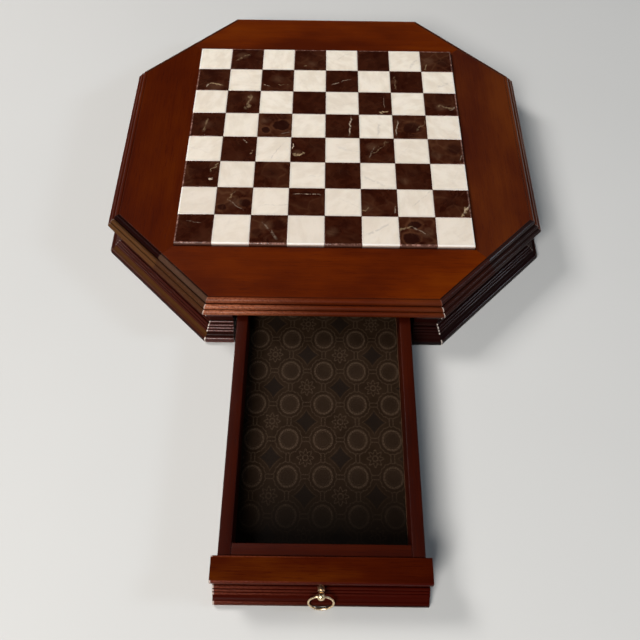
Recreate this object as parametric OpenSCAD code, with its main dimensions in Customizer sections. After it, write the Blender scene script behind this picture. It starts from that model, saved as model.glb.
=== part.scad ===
// Eight-sided chess box with one long drawer.
// Millimetres, +Z up.  The origin is the middle of the underside, the front of the box faces -Y,
// and the drawer stands open by drawer_out.

/* [Top] */
// Width of the flat wooden border round the stone board
rim_w = 52.7; // [48:0.1:62]
// How far each corner is cut back, measured along the long side
corner_leg = 85; // [70:1:95]
// Thickness of the four mitred top boards
top_t = 13; // [12:0.5:18]

/* [Stone board] */
// Edge of one square
square = 31.25; // [26:0.25:36]
// Thickness of the stone squares
tile_t = 8; // [6:0.5:10]
// Thickness of the plate that the squares are glued on
slab_t = 4; // [3:0.5:5]
// Thickness of the wooden panel under that plate
bed_t = 4.5; // [3.5:0.5:5]
// Rebate that holds the panel in the top boards
bed_rebate = 10; // [6:1:14]
// Gap round the stone board
board_gap = 0.3; // [0.2:0.05:0.6]
// Joint between two squares
tile_joint = 0.16; // [0.1:0.02:0.3]

/* [Case] */
// Height of the case under the top boards
case_h = 33; // [31:0.5:40]
// Thickness of the case walls at the neck
wall_t = 13; // [11:0.5:16]
// Thickness of the bottom panel
bottom_t = 4; // [3:0.5:6]
// Rebate that holds the bottom panel in the walls
bottom_rebate = 8; // [7:0.5:9]
// Side of the square glue cleats under the top
cleat = 12; // [8:1:14]
// Length of the glue cleats
cleat_len = 64; // [40:1:70]

/* [Mouldings] */
// Reach of the neck beyond the edge of the flat top
neck_out = 1; // [0:0.5:2]
// Reach of the lip above the neck
lip_out = 5.5; // [4:0.5:6.5]
// Height of the lip above the neck
lip_h = 5; // [4:0.5:6]
// Reach of the base
base_out = 13; // [12:0.5:15]
// Height of the base
base_h = 5.7; // [5.5:0.1:6.5]
// Radius of the rounded upper edge of the base
base_r = 2; // [1:0.25:2.5]
// Radius of the small reeds
reed_r = 1.25; // [1:0.05:1.4]
// Height of the middle of the highest reed
reed_top = 14.5; // [14:0.25:15.5]
// Drop from the highest reed to the next, and as far outward
reed_drop = 2.25; // [2:0.05:2.5]
// Step between the lower reeds, outward and down
reed_step = 1.65; // [1.5:0.05:1.7]
// Number of reeds below the highest one
reed_n = 3; // [2:1:3]

/* [Drawer] */
// How far the drawer stands open
drawer_out = 209; // [150:1:215]
// Length of the drawer box
drawer_len = 260; // [240:1:300]
// Front wall left on each side of the drawer front, at the edge of the flat top
jamb_w = 18.75; // [16:0.25:24]
// How far the moulded front reaches past each side of the drawer box
front_lap = 4; // [2.5:0.25:8]
// Thickness of the drawer sides and ends
side_t = 9; // [7:0.5:12]
// Gap between the drawer sides and the top boards
side_drop = 2; // [1.75:0.25:5]
// Thickness of the drawer's bottom panel
floor_t = 3; // [2:0.5:4]
// Height of that panel's underside above the drawer's own underside
floor_rise = 3.7; // [3:0.1:6]
// Depth of the groove that holds the panel
groove = 4; // [2:0.5:5]
// Thickness of the paper liner
liner_t = 0.4; // [0.3:0.1:1]
// Thickness of the guide strips beside the drawer
guide_t = 6; // [4:0.5:8]
// Height of the guide strips
guide_h = 20; // [12:1:24]
// Thickness of the strip that stops the drawer
stop_t = 1.5; // [1:0.25:1.5]
// Depth of the strip that stops the drawer
stop_d = 10; // [6:1:14]

/* [Pull] */
// Height of the pull
pull_z = 17.6; // [17.4:0.1:20]
// Reach of the middle of the ball from the neck
pull_reach = 9.15; // [9:0.05:12]
// Radius of the ball
ball_r = 2.9; // [2.7:0.1:3.2]
// Radius of the hole through the ball
eye_r = 1.35; // [1.3:0.05:1.5]
// Radius of the collar behind the ball
collar_r = 2.5; // [2.2:0.1:2.8]
// Radius of the ring, to the middle of its wire
ring_r = 8.5; // [8:0.1:8.6]
// Radius of the ring's wire
wire_r = 0.75; // [0.6:0.05:0.8]
// Lean of the hanging ring, away from the drawer front
ring_lean = 16; // [16:0.5:22]

/* [Screws] */
// Radius of the screw in the pull
pull_screw_r = 1.2; // [1:0.1:1.3]
// Radius of the wood screws
screw_r = 1.6; // [1.4:0.1:1.8]
// Radius of the heads
head_r = 3; // [2.6:0.1:3.4]
// Length of the screws through the bottom panel
bottom_screw_len = 14; // [12:1:16]
// Length of the screws through the drawer's inner front
front_screw_len = 18; // [14:1:20]

/* [Clearances] */
// Side gap between the drawer box and each guide strip
side_gap = 0.5; // [0.3:0.05:1]
// Gap under the drawer box
slide_gap = 0.3; // [0.2:0.05:0.4]
// Gap above and below the moulded drawer front
front_gap = 0.6; // [0.4:0.05:0.8]
// Gap at each end of the moulded drawer front
reveal = 0.75; // [0.5:0.05:1]
// Gap between a panel and its groove
panel_gap = 0.05; // [0.02:0.01:0.1]
// Gap round a screw
screw_gap = 0.03; // [0.02:0.01:0.08]
// Gap between the drawer and whatever ends its travel
stop_gap = 0.3; // [0.2:0.05:0.5]

/* [Hidden] */
$fn = 48;

// Sides are numbered from the front one, anticlockwise from above
n_sides = 8;
turn = 360 / n_sides;
front = 0;
right = n_sides / 4;
back = n_sides / 2;
left = right + back;

// The board and the top
n_squares = 8;
board_w = n_squares * square;
hole_w = board_w + 2 * board_gap;
bed_w = board_w + 2 * bed_rebate;
top_w = hole_w + 2 * rim_w;
top_z = case_h + top_t;
bed_z = case_h + bed_t;
slab_z = bed_z + slab_t;

// The case: places outside are measured outward from the edge of the flat top
inner = neck_out - wall_t;
inner_y = top_w / 2 + inner;
long_side = top_w - 2 * corner_leg;
opening_w = long_side - 2 * jamb_w;
front_w = opening_w - 2 * reveal;
drawer_w = front_w - 2 * front_lap;
past = 1;
far = 2 * top_w;

// Edge moulding of the top boards: a quirk and three beads, stepping outward and down
quirk_out = -2.6;
quirk_h = 0.25;
bead1_r = 1.2;
bead1_out = -0.2;
bead1_z = top_z - quirk_h - bead1_r;
face1_out = 0.6;
bead2_r = 1.9;
bead2_out = 2.9;
bead2_down = 5.8;
bead2_z = top_z - bead2_down;
face2_out = 4.4;
bead3_r = 2.6;
bead3_out = 5.5;
bead3_down = 10;
bead3_z = top_z - bead3_down;
face3_out = 7.2;

// Moulding of the case walls and the drawer front
lip_r = 1.2;
cove_r = 3.1;
reed_rise = 0.12;
reed_out = neck_out + reed_rise;
low_reed_out = reed_out + reed_drop + (reed_n - 1) * reed_step;
low_reed_z = reed_top - reed_drop - (reed_n - 1) * reed_step;
cove_out = low_reed_out + reed_r;

// The drawer, closed
box_front = -inner_y;
box_back = box_front + drawer_len;
box_z = bottom_t + slide_gap;
side_top = case_h - side_drop;
floor_z = box_z + floor_rise;
inner_w = drawer_w - 2 * side_t;
inner_len = drawer_len - 2 * side_t;
liner_gap = 0.3;
back_top = case_h - front_gap;
guide_x = drawer_w / 2 + side_gap;
stop_back = 2;

// The pull, measured along its axis from the neck
neck_y = -(top_w / 2 + neck_out);
shank_r = 1.8;
shank_len = 3.4;
collar_len = 2.4;
collar_round = 0.8;
waist_r = 1.6;
tip_in = 0.7;
pull_screw_in = pull_reach - ball_r - tip_in;
pull_hole_len = side_t + wall_t + pull_screw_in;

// The screws
head_h = 1.6;
slot_w = 0.8;
slot_h = 0.7;
head_sink = 0.2;
pull_screw_len = pull_hole_len - head_sink - screw_gap;
front_screw_in = 15.5;
front_screw_x = inner_w / 2 - front_screw_in;
bottom_screw_in = 33;
bottom_screw_x = long_side / 2 - bottom_screw_in;
bottom_screw_front_x = (opening_w + long_side + 2 * inner * tan(turn / 2)) / 4;

// ------------------------------------------------------------ outline of the box

// Direction of the outward normal of one side
function side_angle(i) = turn * i - 90;

// Distance from the middle to the edge of the flat top on one side
function side_dist(i) = i % 2 == 0 ? top_w / 2 : (top_w - corner_leg) / sqrt(2);

// Corner between side i and the next one, pushed outward by out
function corner(i, out) =
  let (a = side_angle(i), b = side_angle(i + 1),
       d = side_dist(i) + out, e = side_dist(i + 1) + out)
  [(d * sin(b) - e * sin(a)) / sin(turn), (e * cos(a) - d * cos(b)) / sin(turn)];

// The eight-sided outline, pushed outward by out
function outline(out) = [for (i = [0 : n_sides - 1]) corner(i, out)];

// A straight length of a section, along the outside of one side
module along_side(i, length) {
  rotate([0, 0, side_angle(i)])
    translate([side_dist(i), 0, 0])
      rotate([90, 0, 0])
        translate([0, 0, -length / 2])
          linear_extrude(length) children();
}

// The same, mitred at both ends where it meets its neighbours
module mitred_side(i) {
  reach = base_out + past;
  depth = inner - past;
  intersection() {
    along_side(i, long_side + 2 * reach) children();
    linear_extrude(top_z)
      polygon([corner(i - 1, depth), corner(i - 1, reach), corner(i, reach), corner(i, depth)]);
  }
}

// Puts children on one side of the box: outward by out, along the side by along
module on_side(i, out, along = 0) {
  rotate([0, 0, side_angle(i)]) translate([side_dist(i) + out, along, 0]) children();
}

// ------------------------------------------------------------ sections

// A rectangle given by two opposite corners
module box2(a, b) {
  translate(a) square(b - a);
}

// A disc in a section
module disc(x, z, r) {
  translate([x, z]) circle(r);
}

// Top boards: flat top, quirk and three beads, one solid stretch at every height
module rim_section() {
  box2([-top_w, case_h], [quirk_out, top_z]);
  box2([-top_w, case_h], [bead1_out, bead1_z + bead1_r]);
  disc(bead1_out, bead1_z, bead1_r);
  box2([-top_w, case_h], [face1_out, bead1_z]);
  box2([-top_w, case_h], [bead2_out, bead2_z + bead2_r]);
  disc(bead2_out, bead2_z, bead2_r);
  box2([-top_w, case_h], [face2_out, bead2_z]);
  box2([-top_w, case_h], [bead3_out, bead3_z + bead3_r]);
  disc(bead3_out, bead3_z, bead3_r);
  box2([-top_w, case_h], [face3_out, bead3_z]);
}

// Case wall: lip, neck, reeds, cove and base, between the heights low and high
module wall_section(low, high) {
  lip_z = high - lip_h;
  box2([inner, low], [neck_out, high]);
  box2([inner, lip_z], [lip_out - lip_r, high]);
  box2([inner, lip_z + lip_r], [lip_out, high - lip_r]);
  disc(lip_out - lip_r, lip_z + lip_r, lip_r);
  disc(lip_out - lip_r, high - lip_r, lip_r);
  disc(reed_out, reed_top, reed_r);
  for (k = [0 : reed_n - 1]) {
    out = reed_out + reed_drop + k * reed_step;
    z = reed_top - reed_drop - k * reed_step;
    disc(out, z, reed_r);
    box2([inner, low], [out, z]);
  }
  difference() {
    box2([inner, low], [cove_out + cove_r, base_h + cove_r]);
    disc(cove_out + cove_r, base_h + cove_r, cove_r);
  }
  box2([inner, low], [base_out - base_r, base_h]);
  box2([inner, low], [base_out, base_h - base_r]);
  disc(base_out - base_r, base_h - base_r, base_r);
}

// ------------------------------------------------------------ screws

// Countersunk slotted wood screw along +Z, with its head at z = 0
module wood_screw(length, radius) {
  difference() {
    union() {
      cylinder(h = length, r = radius);
      cylinder(h = head_h, r1 = head_r, r2 = radius);
    }
    translate([-head_r, -slot_w / 2, -past]) cube([2 * head_r, slot_w, slot_h + past]);
  }
}

// The hole that it fills, open past its head
module screw_hole(length, radius) {
  cylinder(h = length + screw_gap, r = radius + screw_gap);
  cylinder(h = head_h, r1 = head_r + screw_gap, r2 = radius + screw_gap);
  translate([0, 0, -past]) cylinder(h = past, r = head_r + screw_gap);
}

// Places of the screws through the bottom panel, heads down
module at_bottom_screws() {
  line = inner + bottom_rebate / 2;
  translate([0, 0, head_sink]) {
    for (i = [right, back, left], along = [-bottom_screw_x, bottom_screw_x])
      on_side(i, line, along) children();
    for (i = [1 : 2 : n_sides - 1])
      on_side(i, line) children();
    for (along = [-bottom_screw_front_x, bottom_screw_front_x])
      on_side(front, line, along) children();
  }
}

// Places of the screws through the drawer's inner front, pointing forward
module at_front_screws() {
  for (x = [-front_screw_x, front_screw_x])
    translate([x, box_front + side_t - head_sink, pull_z]) rotate([90, 0, 0]) children();
}

// Place of the screw that holds the pull
module at_pull_screw() {
  translate([0, box_front + side_t - head_sink, pull_z]) rotate([90, 0, 0]) children();
}

// ------------------------------------------------------------ top

// One of the four mitred boards round the stone board, on side i
module top_board(i) {
  h = hole_w / 2;
  difference() {
    intersection() {
      along_side(i - 1, far) rim_section();
      along_side(i, far) rim_section();
      along_side(i + 1, far) rim_section();
      rotate([0, 0, turn * i])
        linear_extrude(top_z + past) polygon([[-h, -h], [-far, -far], [far, -far], [h, -h]]);
    }
    translate([-bed_w / 2, -bed_w / 2, case_h - past]) cube([bed_w, bed_w, bed_t + past]);
  }
}

// Panel under the stone board, let into the top boards
module bed_panel() {
  w = bed_w - 2 * panel_gap;
  color("burlywood") translate([-w / 2, -w / 2, case_h]) cube([w, w, bed_t]);
}

// Plate that the squares are glued on
module slab_plate() {
  color("gray") translate([-board_w / 2, -board_w / 2, bed_z]) cube([board_w, board_w, slab_t]);
}

// Every second square, starting with the far left one when odd is 0
module squares(odd) {
  w = square - tile_joint;
  for (i = [0 : n_squares - 1], j = [0 : n_squares - 1])
    if ((i + j) % 2 == odd)
      translate([i * square - board_w / 2 + tile_joint / 2,
                 board_w / 2 - (j + 1) * square + tile_joint / 2, slab_z])
        cube([w, w, tile_t]);
}

// ------------------------------------------------------------ case

// A wall of the case on side i, with the rebate for the bottom panel
module case_wall(i) {
  difference() {
    mitred_side(i) difference() {
      wall_section(0, case_h);
      box2([inner - past, -past], [inner + bottom_rebate, bottom_t]);
    }
    at_bottom_screws() screw_hole(bottom_screw_len, screw_r);
  }
}

// The stretch of the front wall on one side of the drawer
module front_wall(sign) {
  x = sign > 0 ? opening_w / 2 : -far;
  intersection() {
    case_wall(front);
    translate([x, -far, 0]) cube([far - opening_w / 2, far, case_h]);
  }
}

module bottom_panel() {
  color("tan") difference() {
    linear_extrude(bottom_t) polygon(outline(inner + bottom_rebate - panel_gap));
    translate([-opening_w / 2, -far, -past])
      cube([opening_w, far - inner_y + stop_gap, bottom_t + 2 * past]);
    at_bottom_screws() screw_hole(bottom_screw_len, screw_r);
  }
}

// Square strips glued in the angle between the walls and the top
module top_cleats() {
  color("burlywood")
    for (i = [1 : n_sides - 1])
      on_side(i, inner - cleat)
        translate([0, -cleat_len / 2, case_h - cleat]) cube([cleat, cleat_len, cleat]);
}

// Strip beside the drawer, from the front wall to the back wall
module drawer_guide(sign) {
  color("burlywood")
    translate([sign > 0 ? guide_x : -guide_x - guide_t, -inner_y + stop_gap, bottom_t])
      cube([guide_t, 2 * inner_y - stop_gap, guide_h]);
}

// Thin strip under the top board that catches the raised back of the drawer
module drawer_stop() {
  w = inner_w - 2 * stop_back;
  color("burlywood")
    translate([-w / 2, -inner_y + stop_back, case_h - stop_t]) cube([w, stop_d, stop_t]);
}

// ------------------------------------------------------------ drawer

// Moulded front, the same moulding as the case walls
module drawer_front() {
  color("sienna") difference() {
    along_side(front, front_w) wall_section(front_gap, case_h - front_gap);
    at_front_screws() screw_hole(front_screw_len, screw_r);
    at_pull_screw() screw_hole(pull_screw_len, pull_screw_r);
  }
}

// Slot round the inside of the drawer box that holds its bottom
module floor_slot() {
  w = inner_w + 2 * groove;
  translate([-w / 2, box_front + side_t - groove, floor_z - panel_gap])
    cube([w, inner_len + 2 * groove, floor_t + 2 * panel_gap]);
}

module drawer_inner_front() {
  color("peru") difference() {
    translate([-inner_w / 2, box_front, box_z]) cube([inner_w, side_t, side_top - box_z]);
    floor_slot();
    at_front_screws() screw_hole(front_screw_len, screw_r);
    at_pull_screw() screw_hole(pull_screw_len, pull_screw_r);
  }
}

// The back stands higher than the sides, so that the stop strip catches it
module drawer_back() {
  color("peru") difference() {
    translate([-inner_w / 2, box_back - side_t, box_z]) cube([inner_w, side_t, back_top - box_z]);
    floor_slot();
  }
}

module drawer_side(sign) {
  color("peru") difference() {
    translate([sign > 0 ? inner_w / 2 : -drawer_w / 2, box_front, box_z])
      cube([side_t, drawer_len, side_top - box_z]);
    floor_slot();
  }
}

module drawer_bottom() {
  reach = groove - panel_gap;
  w = inner_w + 2 * reach;
  color("tan")
    translate([-w / 2, box_front + side_t - reach, floor_z]) cube([w, inner_len + 2 * reach, floor_t]);
}

module drawer_liner() {
  w = inner_w - 2 * liner_gap;
  color("dimgray")
    translate([-w / 2, box_front + side_t + liner_gap, floor_z + floor_t])
      cube([w, inner_len - 2 * liner_gap, liner_t]);
}

// ------------------------------------------------------------ pull

// Turned post: shank, collar, waist and ball, drilled for the screw and the ring
module pull_post() {
  color("gold") translate([0, neck_y, pull_z]) rotate([90, 0, 0]) difference() {
    rotate_extrude() {
      square([shank_r, shank_len + collar_round]);
      box2([0, shank_len], [collar_r - collar_round, shank_len + collar_len]);
      box2([0, shank_len + collar_round], [collar_r, shank_len + collar_len - collar_round]);
      disc_half(collar_r - collar_round, shank_len + collar_round, collar_round);
      disc_half(collar_r - collar_round, shank_len + collar_len - collar_round, collar_round);
      square([waist_r, pull_reach]);
      disc_half(0, pull_reach, ball_r);
    }
    translate([0, 0, -past]) cylinder(h = pull_screw_in + past, r = pull_screw_r + screw_gap);
    translate([0, 0, pull_reach]) rotate([0, 90, 0]) cylinder(h = 4 * ball_r, r = eye_r, center = true);
  }
}

// The part of a disc that lies outside the turning axis
module disc_half(x, z, r) {
  intersection() {
    disc(x, z, r);
    translate([0, z - r]) square([x + r, 2 * r]);
  }
}

// Ring through the ball, leaning on the base of the drawer front
module pull_ring() {
  color("gold")
    translate([0, neck_y - pull_reach, pull_z]) rotate([-ring_lean, 0, 0])
      translate([0, 0, -ring_r]) rotate([90, 0, 0])
        rotate_extrude() translate([ring_r, 0]) circle(wire_r);
}

// Everything that moves with the drawer, drawn open
module opened() {
  translate([0, -drawer_out, 0]) children();
}

// ------------------------------------------------------------ pieces

color("brown") top_board(front);  // top_board_front
color("brown") top_board(right);  // top_board_right
color("brown") top_board(back);  // top_board_back
color("brown") top_board(left);  // top_board_left
bed_panel();
slab_plate();
color("linen") squares(0);  // light_squares
color("maroon") squares(1);  // dark_squares
color("sienna") front_wall(-1);  // wall_front_left
color("sienna") front_wall(1);  // wall_front_right
color("sienna") case_wall(right);  // wall_right
color("sienna") case_wall(back);  // wall_back
color("sienna") case_wall(left);  // wall_left
color("sienna") case_wall(front + 1);  // corner_wall_front_right
color("sienna") case_wall(right + 1);  // corner_wall_back_right
color("sienna") case_wall(back + 1);  // corner_wall_back_left
color("sienna") case_wall(left + 1);  // corner_wall_front_left
bottom_panel();
color("silver") at_bottom_screws() wood_screw(bottom_screw_len, screw_r);  // bottom_screws
top_cleats();
drawer_guide(-1);  // drawer_guide_left
drawer_guide(1);  // drawer_guide_right
drawer_stop();
opened() drawer_front();
opened() drawer_inner_front();
opened() drawer_back();
opened() drawer_side(-1);  // drawer_side_left
opened() drawer_side(1);  // drawer_side_right
opened() drawer_bottom();
opened() drawer_liner();
opened() color("silver") at_front_screws() wood_screw(front_screw_len, screw_r);  // drawer_front_screws
opened() color("silver") at_pull_screw() wood_screw(pull_screw_len, pull_screw_r);  // pull_screw
opened() pull_post();
opened() pull_ring();
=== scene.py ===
# %% [markdown]
# # A chess box with a drawer
#
# The real object is an eight-sided box of stained and lacquered wood.  A stone chessboard is let into
# its flat top, a moulding runs round its walls, and one long drawer slides out of the front on a small
# brass ring pull.  A construction model already gives every piece its place and size, so this lesson is
# about looks: smooth mouldings with crisp grooves, wood with grain that follows each board, polished
# stone with a different piece of rock in each square, printed paper and worn brass.
#
# Everything is in metres.  The box's middle is at x = 0, y = 0, its underside at z = 0, and its front
# looks towards -Y, where the drawer stands open.

import bpy
import numpy as np
from mathutils import Euler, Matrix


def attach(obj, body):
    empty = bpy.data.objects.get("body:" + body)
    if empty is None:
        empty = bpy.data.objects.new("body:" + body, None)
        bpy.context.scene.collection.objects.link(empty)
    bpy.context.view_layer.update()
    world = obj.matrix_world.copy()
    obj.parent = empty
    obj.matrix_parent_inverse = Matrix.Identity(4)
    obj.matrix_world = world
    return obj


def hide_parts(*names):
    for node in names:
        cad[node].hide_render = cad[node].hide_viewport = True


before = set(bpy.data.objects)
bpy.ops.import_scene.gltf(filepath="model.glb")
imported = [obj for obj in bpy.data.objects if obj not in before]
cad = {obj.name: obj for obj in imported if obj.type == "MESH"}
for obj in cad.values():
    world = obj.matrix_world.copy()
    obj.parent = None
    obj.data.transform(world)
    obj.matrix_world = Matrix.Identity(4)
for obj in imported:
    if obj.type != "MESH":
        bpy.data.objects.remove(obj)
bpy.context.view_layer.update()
mm = 0.001

# %% [markdown]
# ## Camera
#
# The photograph was taken from above the open drawer, looking down at the board.  A camera's place can
# be found by guessing, but here the board helped: the corners of its 64 squares form a known grid, and
# only one place, direction and lens show them where the photograph does.  The angles below turn a
# camera that looks straight down.

# %% The photograph's camera
camera_data = bpy.data.cameras.new("photo_camera")
camera_data.lens = 42.19
camera_data.sensor_width = 36.0
camera_data.clip_start = 0.01
camera = bpy.data.objects.new("photo_camera", camera_data)
bpy.context.scene.collection.objects.link(camera)
camera.location = (-3.9 * mm, -514.3 * mm, 534.9 * mm)
camera.rotation_euler = Euler(np.radians([32.9796, -0.4802, 0.5779]))
bpy.context.scene.camera = camera
bpy.context.scene.view_settings.view_transform = "Standard"
print("camera:", camera.location[:], "lens", camera_data.lens)

# %% [markdown]
# ## From arrays to pieces
#
# Blender's own cubes and cylinders would give sharp, machine-like shapes.  Each piece here is worked
# out as a grid of points instead, a whole array at a time, and `lay` turns the arrays into a mesh.
# Next to their places the points can carry marks, such as where they lie along the grain.  Materials
# read the marks by name, which lets one wood material run the right way on every board.

# %% Mesh helpers
def lay(name, points, faces, finish, slot, body, stands_for, crease=32, **marks):
    """Make a piece from an (n, 3) array of points and a list of faces, and hang it on a body.

    marks are values at the points, one number or three each.  Edges that turn by more than crease
    degrees stay sharp, the others are shaded round.
    """
    mesh = bpy.data.meshes.new(name)
    mesh.from_pydata(np.asarray(points, float), [], [list(map(int, f)) for f in faces])
    mesh.update()
    for mark, values in marks.items():
        values = np.asarray(values, np.float32)
        kind, key = ("FLOAT_VECTOR", "vector") if values.ndim == 2 else ("FLOAT", "value")
        mesh.attributes.new(mark, kind, "POINT").data.foreach_set(key, values.ravel())
    mesh.polygons.foreach_set("use_smooth", np.ones(len(mesh.polygons), bool))
    mesh.set_sharp_from_angle(angle=np.radians(crease))
    mesh.materials.append(finish)
    piece = bpy.data.objects.new(name, mesh)
    bpy.context.scene.collection.objects.link(piece)
    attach(piece, body)
    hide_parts(*stands_for)
    print(f"{name}: {len(mesh.vertices)} points, {len(mesh.polygons)} faces")
    return piece


def ring_faces(rings, count, first=0):
    """Faces of a tube of `rings` rings with `count` points each, closed by a flat face at both ends."""
    n = first + np.arange(rings * count).reshape(rings, count)
    side = np.roll(n, -1, 1)
    sides = np.stack([n[:-1], side[:-1], side[1:], n[1:]], -1).reshape(-1, 4).tolist()
    return sides + [n[0, ::-1].tolist(), n[-1].tolist()]


def arc(x, z, r, start, stop, steps):
    """Points on a circle of radius r round (x, z), from start to stop in degrees: 0 outward, 90 up."""
    t = np.radians(np.linspace(start, stop, steps))
    return np.stack([x + r * np.cos(t), z + r * np.sin(t)], -1)


def loop(*parts):
    """Join stretches of a section, given as arrays or single (out, height) points, into one array."""
    return np.vstack([np.atleast_2d(p) for p in parts])


def relief(section, reach=0.7):
    """How far each point of a closed section stands out of its neighbourhood, in millimetres.

    The point is compared with the middle of the two points `reach` before and after it along the
    section, so a crest comes out positive and a groove negative.
    """
    closed = np.vstack([section, section[:1]])
    way = np.r_[0, np.cumsum(np.hypot(*np.diff(closed, axis=0).T))]
    at = lambda s: np.stack([np.interp(s % way[-1], way, closed[:, k]) for k in (0, 1)], -1)
    before, after = at(way[:-1] - reach), at(way[:-1] + reach)
    along = after - before
    outward = np.stack([-along[:, 1], along[:, 0]], -1)
    outward /= np.maximum(np.linalg.norm(outward, axis=1, keepdims=True), 1e-9)
    return ((section - (before + after) / 2) * outward).sum(-1)


# %% [markdown]
# ## The eight-sided outline
#
# Top boards, walls and drawer front all follow one outline: a square with its corners cut off.  A place
# on them is given by the side, by how far outward it lies from the edge of the flat top, and by its
# height.  Where two sides meet, their outward distances cross at the mitre, and the formula for that
# crossing point is all that the mitred mouldings need.

# %% Outline helpers
TOP = 356.0 / 2          # middle to the edge of the flat top, long sides
CHAMFER = (356.0 - 85.0) / 2 ** 0.5   # the same for the four cut corners
WOOD_TOP = 46.0          # heights of the boards' upper face, the stone's, and the walls
STONE_TOP = 49.5
CASE = 33.0


def side_angle(i):
    """Direction in which side i looks, in radians: side 0 is the front, then anticlockwise."""
    return np.radians(45.0 * i - 90.0)


def reach_of(i, out):
    """Distance from the middle to side i, pushed outward by out."""
    return (TOP if i % 2 == 0 else CHAMFER) + np.asarray(out, float)


def corner(i, out):
    """Where side i meets the next one: the crossing of two lines at given distances from the middle."""
    a, b = side_angle(i), side_angle(i + 1)
    d, e = reach_of(i, out), reach_of(i + 1, out)
    turn = np.sin(b - a)
    return np.stack([(d * np.sin(b) - e * np.sin(a)) / turn, (e * np.cos(a) - d * np.cos(b)) / turn], -1)


def eased(i, out, angle, ease=0.5):
    """Corner i with its arris rounded by `ease` millimetres, at the given direction in radians."""
    return corner(i, out - ease) + ease * np.array([np.cos(angle), np.sin(angle)])


def turned(points, angle):
    """Points turned about the box's upright axis."""
    c, s = np.cos(angle), np.sin(angle)
    out = np.array(points, float)
    out[..., 0] = c * points[..., 0] - s * points[..., 1]
    out[..., 1] = s * points[..., 0] + c * points[..., 1]
    return out


print("outline corners, front side:", corner(7, 0).round(1), corner(0, 0).round(1))

# %% [markdown]
# ## Finishes: a few shader helpers
#
# Shader nodes are easier to read as code when adding one takes one line.  `put` adds a node and fills
# its sockets, `calc` and `times` do sums, and `tinted` lays one colour over another through masks.
# `group` opens a node group with named inputs and outputs, so that an effect such as wood grain is
# built once and used by many materials.

# %% Shader helpers
def put(tree, kind, sockets=None, **settings):
    """Add a node. settings are its properties; sockets maps inputs to values or to other outputs."""
    made = tree.nodes.new("ShaderNode" + kind)
    for key, value in settings.items():
        setattr(made, key, value)
    for key, value in (sockets or {}).items():
        if isinstance(value, bpy.types.NodeSocket):
            tree.links.new(value, made.inputs[key])
        else:
            made.inputs[key].default_value = value
    return made


def split(tree, vector):
    """The three numbers of a vector, as sockets."""
    return put(tree, "SeparateXYZ", {0: vector}).outputs


def vector_sum(tree, operation, a, b):
    """One sum on two vectors."""
    return put(tree, "VectorMath", {0: a, 1: b}, operation=operation).outputs[0]


def calc(tree, operation, a, b=0.0, c=0.0):
    """One sum: MULTIPLY, ADD, MULTIPLY_ADD and so on, as an output socket."""
    return put(tree, "Math", {0: a, 1: b, 2: c}, operation=operation).outputs[0]


def times(tree, *values):
    """The product of several values."""
    product = values[0]
    for value in values[1:]:
        product = calc(tree, "MULTIPLY", product, value)
    return product


def ramp(tree, value, low, high, to_low=0.0, to_high=1.0):
    """Value stretched smoothly from low..high to to_low..to_high, and held at the ends."""
    return put(tree, "MapRange", {"Value": value, "From Min": low, "From Max": high, "To Min": to_low,
                                  "To Max": to_high}, interpolation_type="SMOOTHSTEP").outputs["Result"]


def noise(tree, place, scale, detail, rough=0.5):
    """Cloudy noise, the same size in every direction."""
    return put(tree, "TexNoise", {"Vector": place, "Scale": scale, "Detail": detail,
                                  "Roughness": rough}).outputs["Fac"]


def mixed(tree, factor, a, b):
    """Colour a where the factor is 0 and colour b where it is 1."""
    a, b = ((*v, 1.0) if isinstance(v, tuple) else v for v in (a, b))
    return put(tree, "Mix", {0: factor, 6: a, 7: b}, data_type="RGBA").outputs[2]


def tinted(tree, colour, tint, *masks):
    """The colour with a tint laid over it where the masks, multiplied, are high."""
    return mixed(tree, times(tree, *masks), colour, tint)


def mark(tree, name, kind="Fac"):
    """A value that the mesh carries at its points: kind is Fac for a number, Vector for three."""
    return put(tree, "Attribute", attribute_name=name).outputs[kind]


def own_place(tree):
    """Places in the object's own coordinates, for pieces that carry no marks."""
    return put(tree, "TexCoord").outputs["Object"]


def group(name, inputs, outputs):
    """Open a node group. inputs and outputs map names to socket kinds, inputs with a default."""
    tree = bpy.data.node_groups.new(name, "ShaderNodeTree")
    for label, (kind, value) in inputs.items():
        socket = tree.interface.new_socket(label, in_out="INPUT", socket_type="NodeSocket" + kind)
        if value is not None:
            socket.default_value = value
    for label, kind in outputs.items():
        tree.interface.new_socket(label, in_out="OUTPUT", socket_type="NodeSocket" + kind)
    return tree, tree.nodes.new("NodeGroupInput").outputs, tree.nodes.new("NodeGroupOutput").inputs


def use(tree, inner, **sockets):
    """Place a node group, with its inputs by name (an underscore stands for a space)."""
    named = {key.replace("_", " "): value for key, value in sockets.items()}
    return put(tree, "Group", named, node_tree=inner).outputs


def finish_named(name, **settings):
    """A material with a Principled shader. settings are sockets that are the same all over."""
    made = bpy.data.materials.new(name)
    made.use_nodes = True
    tree = made.node_tree
    shader = tree.nodes["Principled BSDF"]
    for key, value in settings.items():
        shader.inputs[key.replace("_", " ")].default_value = value
    return made, tree, shader


def feed(tree, shader, **sockets):
    """Link outputs to the shader's inputs, by name (an underscore stands for a space)."""
    for key, value in sockets.items():
        tree.links.new(value, shader.inputs[key.replace("_", " ")])


def relief_bump(tree, shader, height, depth, strength):
    """Feed a height of `depth` metres at most into the shader's normal."""
    made = put(tree, "Bump", {"Strength": strength, "Distance": depth, "Height": height})
    feed(tree, shader, Normal=made.outputs["Normal"])


# %% [markdown]
# ## Wood
#
# The box is stained a warm red brown and lacquered.  The figure has four parts: slow clouds where the
# stain took unevenly, ribbons a few millimetres wide that run with the grain, fine fibres, and short
# dark pores.  All four are noise, squeezed along the grain by different amounts.  The noise is solid,
# so a cut across the grain shows its ends, as on the box's cut-off corners.

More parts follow.
